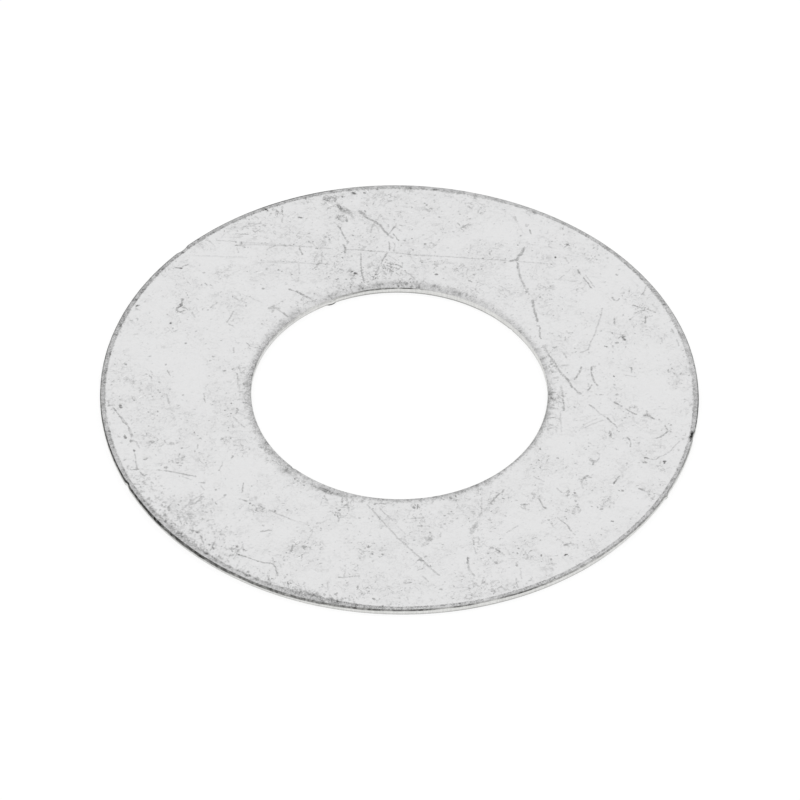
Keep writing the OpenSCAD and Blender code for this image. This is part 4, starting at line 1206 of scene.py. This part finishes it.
def shape_ring(ring):
    """Moves the vertices for the marks and the uneven cuts, and works out the finish at each one."""
    x, y, z = (np.concatenate(part) for part in (ring.x, ring.y, ring.z))
    radius = np.hypot(x, y)
    bearing = np.degrees(np.arctan2(y, x)) % 360.0
    on_rim = radius > (RIM_R + HOLE_R) / 2
    above = z > SHEET_T - MARKED_DEPTH
    finish = {}
    shake_x, shake_y = (patchy(x, y, SHAKE_BLOTCH, seed) - 0.5 for seed in SHAKE_SEEDS)
    mark_x, mark_y = x * MARK_SCALE, y * MARK_SCALE
    rough_x, rough_y = mark_x + LINE_SHAKE * shake_x, mark_y + LINE_SHAKE * shake_y
    loose_x, loose_y = mark_x + PIT_SHAKE * shake_x, mark_y + PIT_SHAKE * shake_y
    nearness, dark_at = mark_fields(rough_x, rough_y, loose_x, loose_y)
    finish["mark"] = np.where(above, nearness, 0.0)
    finish["mark_dark"] = dark_at
    finish["smudge"] = np.where(above, smudge_depth(rough_x, rough_y), 0.0)
    finish["crowded"] = np.where(above, spotted(mark_x, mark_y, CROWDED), 0.0)
    blotched = SCUFF_LEAST + SCUFF_SPREAD * patchy(x, y, SCUFF_BLOTCH, SCUFF_SEED)
    finish["scuffed"] = by_bearing(SCUFFED, bearing, 1) * blotched
    finish["scuffed"] *= 1.0 - spotted(mark_x, mark_y, CLEAN)

    def round_edge(rim_entries, hole_entries, column):
        on_hole = by_bearing(hole_entries, bearing, column)
        return np.where(on_rim, by_bearing(rim_entries, bearing, column), on_hole)

    gap = np.where(on_rim, RIM_R - radius, radius - HOLE_R)
    reach = round_edge(RIM_WEAR, HOLE_WEAR, 2)
    finish["wear"] = round_edge(RIM_WEAR, HOLE_WEAR, 1)
    far = np.where(on_rim, gap / reach, HOLE_WEAR_START + HOLE_WEAR_FADE * gap / reach)
    finish["wear_far"] = np.clip(far, 0.0, WEAR_FAR_MOST)
    finish["wear_loose"] = np.where(on_rim, np.interp(reach, BAND_WIDTHS, BAND_LOOSE), BAND_LOOSE[0])
    # Painted shade and dark reflection under the turn of each cut, by bearing
    level = round_edge(RIM_LINE, HOLE_LINE, 1) * (1.0 + LINE_WAVER * waver(bearing, LINE_SEED))
    finish["line"] = np.clip(level, 0.0, 1.0)
    finish["line_above"] = round_edge(RIM_LINE, HOLE_LINE, 2)
    deeper = 1.0 + DEPTH_WAVER * waver(bearing, DEPTH_SEED)
    finish["line_below"] = round_edge(RIM_LINE, HOLE_LINE, 3) * deeper
    unrolled = np.concatenate(ring.unrolled)
    past = np.where(on_rim, unrolled - turn_place(RIM_ROWS, 1), turn_place(HOLE_ROWS, -1) - unrolled)
    finish["past_turn"] = np.where(z > 0.0, past, 1.0)
    # Darkness of the torn foot: rough torn metal with painted contact shadow, and painted shadow under the
    # hole's burr
    finish["foot"] = round_edge(RIM_FOOT_AND_SHADOW, HOLE_FOOT_AND_SHADOW, 1)
    shift = round_edge(RIM_ROUND, HOLE_ROUND, 1) * (1.0 - smooth_step(gap, *ROUND_FADE))
    uneven = np.where(on_rim, nick_shift(RIM_NICKS, bearing), nick_shift(HOLE_NICKS, bearing))
    rim_waver, hole_waver = waver(bearing, RIM_SEED) - 1.0, waver(bearing, HOLE_SEED) + 1.0
    uneven += CUT_WAVER * np.where(on_rim, rim_waver, hole_waver)
    shift += uneven * (1.0 - smooth_step(gap, 0.0, NICK_FADE))
    foot = np.clip(1.0 - z / TEAR_H, 0.0, 1.0)
    shift -= np.where(on_rim & (gap < TORN_REACH), by_bearing(RIM_TORN, bearing, 1) * foot, 0.0)
    new_radius = radius + shift
    x, y = x * new_radius / radius, y * new_radius / radius
    z = z - GOUGE_DEPTH * finish["mark"] * dark_at
    return np.stack([x, y, z], axis=1), finish


def bake_map(mesh, ring):
    """Unrolls the top and the cuts as one flat disc, with the underside small inside its hole."""
    unrolled = np.concatenate(ring.unrolled)
    flat = np.zeros(len(mesh.vertices) * 3)
    mesh.vertices.foreach_get("co", flat)
    flat = flat.reshape(-1, 3)
    heading = np.arctan2(flat[:, 1], flat[:, 0])
    corner = np.zeros(len(mesh.loops), int)
    mesh.loops.foreach_get("vertex_index", corner)
    under = np.repeat(np.array(ring.kinds) == UNDER, [len(face) for face in ring.faces])
    widest = unrolled.max()
    nested = np.hypot(flat[:, 0], flat[:, 1]) / MM / RIM_R * (unrolled.min() - MAP_GAP)
    reach = np.where(under, nested[corner], unrolled[corner]) / widest * MAP_HALF
    turned = heading[corner]
    uv = np.stack([0.5 + reach * np.cos(turned), 0.5 + reach * np.sin(turned)], axis=1)
    layer = mesh.uv_layers.new(name="OFBake")
    layer.data.foreach_set("uv", uv.ravel())


def make_ring(face_finish, cut_finish):
    """The whole ring as one piece."""
    ring = RingMesh()
    number = build_face(ring)
    rim_foot = build_cut(ring, RIM_ROWS, 1, number[ACROSS])
    hole_foot = build_cut(ring, HOLE_ROWS, -1, number[0])
    build_under(ring, hole_foot, rim_foot)
    places, finish = shape_ring(ring)
    mesh = bpy.data.meshes.new("cover_ring_sheet")
    mesh.from_pydata((places * MM).tolist(), [], ring.faces)
    for name, values in finish.items():
        mesh.attributes.new(name, "FLOAT", "POINT").data.foreach_set("value", values.astype(np.float32))
    mesh.materials.append(face_finish)
    mesh.materials.append(cut_finish)
    slots = np.where(np.array(ring.kinds) == CUT, 1, 0).astype(np.int32)
    mesh.polygons.foreach_set("material_index", slots)
    mesh.polygons.foreach_set("use_smooth", np.ones(len(ring.faces), bool))
    mesh.set_sharp_from_angle(angle=math.radians(SHARP_EDGE))
    bake_map(mesh, ring)
    piece = bpy.data.objects.new("cover_ring_sheet", mesh)
    bpy.context.scene.collection.objects.link(piece)
    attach(piece, "root")
    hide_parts("cover_ring")
    return piece


def add_node(tree, kind, **settings):
    """Adds a node with the given settings."""
    made = tree.nodes.new(kind)
    for name, value in settings.items():
        setattr(made, name, value)
    return made


def feed(tree, socket, value):
    """Joins an output to a socket, or sets a plain value on it."""
    if isinstance(value, bpy.types.NodeSocket):
        tree.links.new(value, socket)
    else:
        socket.default_value = value


def calc(tree, operation, a, b=0.0, clamp=False):
    """The result of one sum."""
    made = add_node(tree, "ShaderNodeMath", operation=operation, use_clamp=clamp)
    feed(tree, made.inputs[0], a)
    feed(tree, made.inputs[1], b)
    return made.outputs[0]


def ramp(tree, value, low, high, to_low=0.0, to_high=1.0):
    """A value carried softly from one range to another."""
    made = add_node(tree, "ShaderNodeMapRange", interpolation_type="SMOOTHSTEP")
    for name, given in (("Value", value), ("From Min", low), ("From Max", high),
                        ("To Min", to_low), ("To Max", to_high)):
        feed(tree, made.inputs[name], given)
    return made.outputs["Result"]


def places_in_mm(tree):
    """Places on the piece in millimetres."""
    where = add_node(tree, "ShaderNodeTexCoord")
    scaled = add_node(tree, "ShaderNodeVectorMath", operation="SCALE")
    feed(tree, scaled.inputs[0], where.outputs["Object"])
    scaled.inputs["Scale"].default_value = 1.0 / MM
    return scaled.outputs[0]


def cloud(tree, place, scale, detail, roughness):
    """Cloudy noise over the places, from 0 to 1."""
    made = add_node(tree, "ShaderNodeTexNoise")
    feed(tree, made.inputs["Vector"], place)
    made.inputs["Scale"].default_value = scale
    made.inputs["Detail"].default_value = detail
    made.inputs["Roughness"].default_value = roughness
    return made.outputs["Fac"]


def kept(tree, name):
    """A finish value that is kept on the mesh."""
    return add_node(tree, "ShaderNodeAttribute", attribute_name=name).outputs["Fac"]


def strewn(tree, place, turn, stretch, scale, size, share):
    """Strewn specks, or dashes if stretched along a turn, as a mask."""
    laid = add_node(tree, "ShaderNodeMapping", vector_type="TEXTURE")
    feed(tree, laid.inputs["Vector"], place)
    laid.inputs["Rotation"].default_value = (0.0, 0.0, math.radians(turn))
    laid.inputs["Scale"].default_value = (stretch, 1.0, 1.0)
    cells = add_node(tree, "ShaderNodeTexVoronoi", voronoi_dimensions="2D")
    feed(tree, cells.inputs["Vector"], laid.outputs[0])
    cells.inputs["Scale"].default_value = scale
    split = add_node(tree, "ShaderNodeSeparateColor")
    feed(tree, split.inputs[0], cells.outputs["Color"])
    shown = ramp(tree, split.outputs["Red"], 1.0 - share, 1.0 - share * FULL_PART)
    spot = ramp(tree, cells.outputs["Distance"], size * scale, size * scale * FULL_PART)
    return calc(tree, "MULTIPLY", spot, shown)


def shaken(tree, place, scale, reach):
    """Places shifted about by noise, so that what is laid on them turns out uneven."""
    noise = add_node(tree, "ShaderNodeTexNoise")
    feed(tree, noise.inputs["Vector"], place)
    noise.inputs["Scale"].default_value = scale
    centred = add_node(tree, "ShaderNodeVectorMath", operation="SUBTRACT")
    feed(tree, centred.inputs[0], noise.outputs["Color"])
    centred.inputs[1].default_value = (0.5, 0.5, 0.5)
    sized = add_node(tree, "ShaderNodeVectorMath", operation="SCALE")
    feed(tree, sized.inputs[0], centred.outputs[0])
    sized.inputs["Scale"].default_value = reach
    moved = add_node(tree, "ShaderNodeVectorMath", operation="ADD")
    feed(tree, moved.inputs[0], place)
    feed(tree, moved.inputs[1], sized.outputs[0])
    return moved.outputs[0]


def marks(tree, ragged, beaded):
    """Darkness of the scratches and pits, with ragged sides and broken along their length."""
    rough = calc(tree, "MULTIPLY", calc(tree, "SUBTRACT", ragged, 0.5), MARK_RAGGED)
    inside = ramp(tree, calc(tree, "ADD", kept(tree, "mark"), rough), *MARK_RAMP)
    strength = calc(tree, "MULTIPLY", kept(tree, "mark_dark"), ramp(tree, beaded, *BEAD_RAMP))
    return calc(tree, "MULTIPLY", inside, strength, clamp=True)


def hairs(tree, place, scale, half_width):
    """Fine winding hairs as a mask, broken into short bits."""
    winding = cloud(tree, place, scale, *HAIR_WINDING)
    off = calc(tree, "ABSOLUTE", calc(tree, "SUBTRACT", winding, 0.5))
    line = ramp(tree, off, half_width * scale, half_width * scale * FULL_PART)
    return calc(tree, "MULTIPLY", line, ramp(tree, cloud(tree, place, *HAIR_CLOUD), *HAIR_RAMP))


def worn_band(tree, ragged, patches, speckled):
    """Darkness of the worn band beside a cut, ragged and creased along its inner side."""
    rough = calc(tree, "MULTIPLY", calc(tree, "SUBTRACT", ragged, 0.5), BAND_RAGGED)
    side = calc(tree, "ADD", kept(tree, "wear_far"), calc(tree, "MULTIPLY", rough, kept(tree, "wear_loose")))
    worn = ramp(tree, side, *BAND_RAMP)
    crease = calc(tree, "MULTIPLY", ramp(tree, side, *CREASE_RISE), ramp(tree, side, *CREASE_FALL))
    worn = calc(tree, "MULTIPLY", worn, calc(tree, "ADD", crease, 1.0))
    blotched = ramp(tree, patches, *BAND_PATCHES)
    blotched = calc(tree, "MULTIPLY", blotched, ramp(tree, speckled, *BAND_SPECKLES))
    return calc(tree, "MULTIPLY", calc(tree, "MULTIPLY", worn, kept(tree, "wear")), blotched, clamp=True)


def new_group(name, outputs):
    """A shader node group with the named value outputs."""
    tree = bpy.data.node_groups.new(name, "ShaderNodeTree")
    for output in outputs:
        tree.interface.new_socket(output, in_out="OUTPUT", socket_type="NodeSocketFloat")
    return tree, tree.nodes.new("NodeGroupOutput")


def sheet_grain_group():
    """Uneven tone of the bare sheet: hazy clouds and a fine grain, stronger where it is scuffed."""
    tree, out = new_group("sheet_grain", ("Shade", "Grain", "Used"))
    place = places_in_mm(tree)
    crowded = kept(tree, "crowded")
    worked = ramp(tree, cloud(tree, place, *WORKED_CLOUD), *WORKED_RAMP)
    used = calc(tree, "MULTIPLY", worked, kept(tree, "scuffed"))
    used = calc(tree, "ADD", used, calc(tree, "MULTIPLY", crowded, CROWDED_USE))
    haze = ramp(tree, cloud(tree, place, *HAZE_CLOUD), *HAZE_RAMP)
    grain = cloud(tree, place, *GRAIN_CLOUD)
    depth = ramp(tree, used, *GRAIN_DEPTH_RAMP)
    fine = calc(tree, "MULTIPLY", ramp(tree, grain, *GRAIN_RAMP), depth)
    shade = less(tree, less(tree, BARE_SHADE, fine), calc(tree, "MULTIPLY", haze, used))
    feed(tree, out.inputs["Shade"], shade)
    feed(tree, out.inputs["Grain"], grain)
    feed(tree, out.inputs["Used"], used)
    return tree


def cut_line_shade_group():
    """Painted shade and dark reflection held under the turn of each cut."""
    tree, out = new_group("cut_line_shade", ("Line Shade",))
    place = places_in_mm(tree)
    past = kept(tree, "past_turn")
    above = calc(tree, "MULTIPLY", kept(tree, "line_above"), -1.0)
    below = kept(tree, "line_below")
    begun = ramp(tree, past, above, calc(tree, "MULTIPLY", above, LINE_FULL))
    left = ramp(tree, past, *(calc(tree, "MULTIPLY", below, share) for share in LINE_END))
    least = calc(tree, "MULTIPLY", kept(tree, "line"), LINE_LEAST)
    broken = ramp(tree, cloud(tree, place, *LINE_CLOUD), *LINE_BREAKS, least, LINE_MOST)
    held = calc(tree, "MULTIPLY", calc(tree, "MULTIPLY", begun, left), broken)
    feed(tree, out.inputs["Line Shade"], calc(tree, "MULTIPLY", held, kept(tree, "line"), clamp=True))
    return tree


def less(tree, shade, mask):
    """A shade darkened by a mask."""
    return calc(tree, "MULTIPLY", shade, calc(tree, "SUBTRACT", 1.0, mask))


def toned(tree, colour, dirt_and_shade_colour, shade):
    """A colour that turns towards the dark colour of dirt, marks and painted shade as the shade falls."""
    mixed = add_node(tree, "ShaderNodeMix", data_type="RGBA", blend_type="MIX", clamp_factor=True)
    feed(tree, mixed.inputs["Factor"], shade)
    feed(tree, mixed.inputs["A"], (*dirt_and_shade_colour, 1.0))
    feed(tree, mixed.inputs["B"], (*colour, 1.0))
    return mixed.outputs["Result"]


def metal(name):
    """A new metal material with its tree and shader."""
    made = bpy.data.materials.new(name)
    made.use_nodes = True
    shader = made.node_tree.nodes["Principled BSDF"]
    shader.inputs["Metallic"].default_value = 1.0
    return made, made.node_tree, shader


def bump(tree, height, distance, strength):
    """A bumped normal from a height."""
    made = add_node(tree, "ShaderNodeBump")
    feed(tree, made.inputs["Height"], height)
    made.inputs["Distance"].default_value = distance
    made.inputs["Strength"].default_value = strength
    return made.outputs["Normal"]


def scuffed_face(grain_group, line_shade_group):
    """Bright sheet, scuffed all over."""
    made, tree, shader = metal("scuffed_face")
    place = places_in_mm(tree)
    grain = add_node(tree, "ShaderNodeGroup", node_tree=grain_group)
    line_shade = add_node(tree, "ShaderNodeGroup", node_tree=line_shade_group)
    ragged = cloud(tree, place, *RAGGED_CLOUD)
    patches = cloud(tree, place, *PATCH_CLOUD)
    speckled = cloud(tree, place, *SPECKLE_CLOUD)
    shade, used = grain.outputs["Shade"], grain.outputs["Used"]
    loose = shaken(tree, shaken(tree, place, *COARSE_SHAKE), *FINE_SHAKE)
    for turn, stretch, scale, size, share, strength in STREWN:
        bits = strewn(tree, loose, turn, stretch, scale, size, share)
        bits = calc(tree, "MULTIPLY", bits, calc(tree, "MULTIPLY", used, strength))
        shade = less(tree, shade, bits)
    crowded = kept(tree, "crowded")
    specks = strewn(tree, loose, *CROWD_SPECKS)
    specks = calc(tree, "MULTIPLY", specks, calc(tree, "MULTIPLY", crowded, CROWD_STRENGTH))
    shade = less(tree, shade, specks)
    haired = calc(tree, "MULTIPLY", crowded, CROWDED_HAIRS)
    haired = calc(tree, "ADD", haired, calc(tree, "MULTIPLY", used, USED_HAIRS))
    for scale, half_width in HAIRS:
        bits = hairs(tree, loose, scale, half_width)
        shade = less(tree, shade, calc(tree, "MULTIPLY", bits, haired))
    for turn, stretch, scale, size, share, strength in BRIGHT_HAIRS:
        bits = strewn(tree, loose, turn, stretch, scale, size, share)
        bits = calc(tree, "MULTIPLY", bits, calc(tree, "MULTIPLY", used, strength), clamp=True)
        shade = calc(tree, "ADD", shade, calc(tree, "MULTIPLY", bits, calc(tree, "SUBTRACT", 1.0, shade)))
    beaded = cloud(tree, place, *BEAD_CLOUD)
    shade = less(tree, shade, marks(tree, ragged, beaded))
    crumbly = ramp(tree, ragged, *CRUMBLE_RAMP)
    shade = less(tree, shade, calc(tree, "MULTIPLY", kept(tree, "smudge"), crumbly))
    shade = less(tree, shade, worn_band(tree, ragged, patches, speckled))
    # Darkened by the painted shade and dark reflection under the turn of each cut
    shade = less(tree, shade, line_shade.outputs["Line Shade"])
    feed(tree, shader.inputs["Base Color"], toned(tree, SHEET_COLOUR, DIRT_AND_SHADE_COLOUR, shade))
    feed(tree, shader.inputs["Roughness"], ramp(tree, shade, *FACE_ROUGHNESS))
    feed(tree, shader.inputs["Normal"], bump(tree, grain.outputs["Grain"], *FACE_BUMP))
    return made


def sheared_cut(grain_group, line_shade_group):
    """Cut edge of the sheet, drawn in fine upright lines where it was sheared."""
    made, tree, shader = metal("sheared_cut")
    place = places_in_mm(tree)
    squeezed = add_node(tree, "ShaderNodeVectorMath", operation="MULTIPLY")
    feed(tree, squeezed.inputs[0], place)
    squeezed.inputs[1].default_value = DRAW_SQUEEZE
    grain = add_node(tree, "ShaderNodeGroup", node_tree=grain_group)
    line_shade = add_node(tree, "ShaderNodeGroup", node_tree=line_shade_group)
    draw = cloud(tree, squeezed.outputs[0], *DRAW_CLOUD)
    split = add_node(tree, "ShaderNodeSeparateXYZ")
    feed(tree, split.inputs[0], place)
    torn = ramp(tree, split.outputs["Z"], TEAR_H, TEAR_H - TEAR_BLEND)
    shade = calc(tree, "MULTIPLY", grain.outputs["Shade"], ramp(tree, draw, *DRAW_RAMP))
    # Darker torn foot: rough torn metal with painted contact shadow
    shade = less(tree, shade, calc(tree, "MULTIPLY", torn, kept(tree, "foot")))
    # Darkened by the painted shade and dark reflection under the turn of each cut
    shade = less(tree, shade, line_shade.outputs["Line Shade"])
    feed(tree, shader.inputs["Base Color"], toned(tree, CUT_COLOUR, DIRT_AND_SHADE_COLOUR, shade))
    feed(tree, shader.inputs["Roughness"], ramp(tree, draw, *CUT_ROUGHNESS))
    feed(tree, shader.inputs["Normal"], bump(tree, draw, *CUT_BUMP))
    return made


def show_background(tree, shown, hidden):
    """A shader for the rays that show the background, and another for the rest."""
    rays = add_node(tree, "ShaderNodeLightPath")
    seen = calc(tree, "MAXIMUM", rays.outputs["Is Camera Ray"], rays.outputs["Is Glossy Ray"])
    seen = calc(tree, "MAXIMUM", seen, rays.outputs["Is Transmission Ray"])
    both = add_node(tree, "ShaderNodeMixShader")
    feed(tree, both.inputs[0], seen)
    feed(tree, both.inputs[1], hidden)
    feed(tree, both.inputs[2], shown)
    return both.outputs[0]


def white_floor():
    """A white floor that still takes the ring's shadow."""
    made = bpy.data.materials.new("white_floor")
    made.use_nodes = True
    tree = made.node_tree
    tree.nodes.clear()
    pale = add_node(tree, "ShaderNodeBsdfDiffuse")
    pale.inputs["Color"].default_value = PALE_FLOOR
    shaded = add_node(tree, "ShaderNodeBsdfDiffuse")
    shaded.inputs["Color"].default_value = SHADED_FLOOR
    glow = add_node(tree, "ShaderNodeEmission")
    glow.inputs["Strength"].default_value = FLOOR_GLOW
    both = add_node(tree, "ShaderNodeAddShader")
    feed(tree, both.inputs[0], shaded.outputs[0])
    feed(tree, both.inputs[1], glow.outputs[0])
    out = add_node(tree, "ShaderNodeOutputMaterial")
    feed(tree, out.inputs["Surface"], show_background(tree, both.outputs[0], pale.outputs[0]))
    return made


def make_floor():
    """A wide floor under the ring."""
    half = FLOOR_HALF
    mesh = bpy.data.meshes.new("floor")
    corners = [(-half, -half, 0.0), (half, -half, 0.0), (half, half, 0.0), (-half, half, 0.0)]
    mesh.from_pydata(corners, [], [(0, 1, 2, 3)])
    mesh.materials.append(white_floor())
    floor = bpy.data.objects.new("floor", mesh)
    floor.location.z = CAD_LOW.z - FLOOR_GAP * MM
    bpy.context.scene.collection.objects.link(floor)


def make_light():
    """Even white light from all round, a little weaker near the horizon."""
    world = bpy.data.worlds.new("studio")
    world.use_nodes = True
    bpy.context.scene.world = world
    tree = world.node_tree
    where = add_node(tree, "ShaderNodeTexCoord")
    split = add_node(tree, "ShaderNodeSeparateXYZ")
    feed(tree, split.inputs[0], where.outputs["Generated"])
    level = ramp(tree, split.outputs["Z"], *SKY_RAMP)
    background = tree.nodes["Background"]
    background.inputs["Color"].default_value = (1.0, 1.0, 1.0, 1.0)
    feed(tree, background.inputs["Strength"], level)


def make_camera():
    """The camera, far off with a long lens and slightly rolled."""
    lift = math.radians(CAMERA_ELEVATION)
    roll = math.radians(CAMERA_ROLL)
    back = Vector((0.0, -math.cos(lift), math.sin(lift)))
    right = Vector((1.0, 0.0, 0.0))
    up = Vector((0.0, math.sin(lift), math.cos(lift)))
    rolled_right = right * math.cos(roll) + up * math.sin(roll)
    rolled_up = up * math.cos(roll) - right * math.sin(roll)
    data = bpy.data.cameras.new("camera")
    data.lens = CAMERA_LENS
    data.sensor_width = CAMERA_SENSOR
    data.shift_x = (PICTURE_PX / 2 - RING_MIDDLE_PX[0]) / PICTURE_PX
    data.shift_y = (RING_MIDDLE_PX[1] - PICTURE_PX / 2) / PICTURE_PX
    data.clip_start, data.clip_end = CAMERA_CLIP
    camera = bpy.data.objects.new("camera", data)
    turn = Matrix((rolled_right, rolled_up, back)).transposed().to_4x4()
    camera.matrix_world = Matrix.Translation(back * CAMERA_DISTANCE * MM) @ turn
    bpy.context.scene.collection.objects.link(camera)
    bpy.context.scene.camera = camera


bpy.context.scene.view_settings.view_transform = "Standard"
make_camera()
make_light()
make_floor()
GRAIN = sheet_grain_group()
CUT_LINE_SHADE = cut_line_shade_group()
make_ring(scuffed_face(GRAIN, CUT_LINE_SHADE), sheared_cut(GRAIN, CUT_LINE_SHADE))
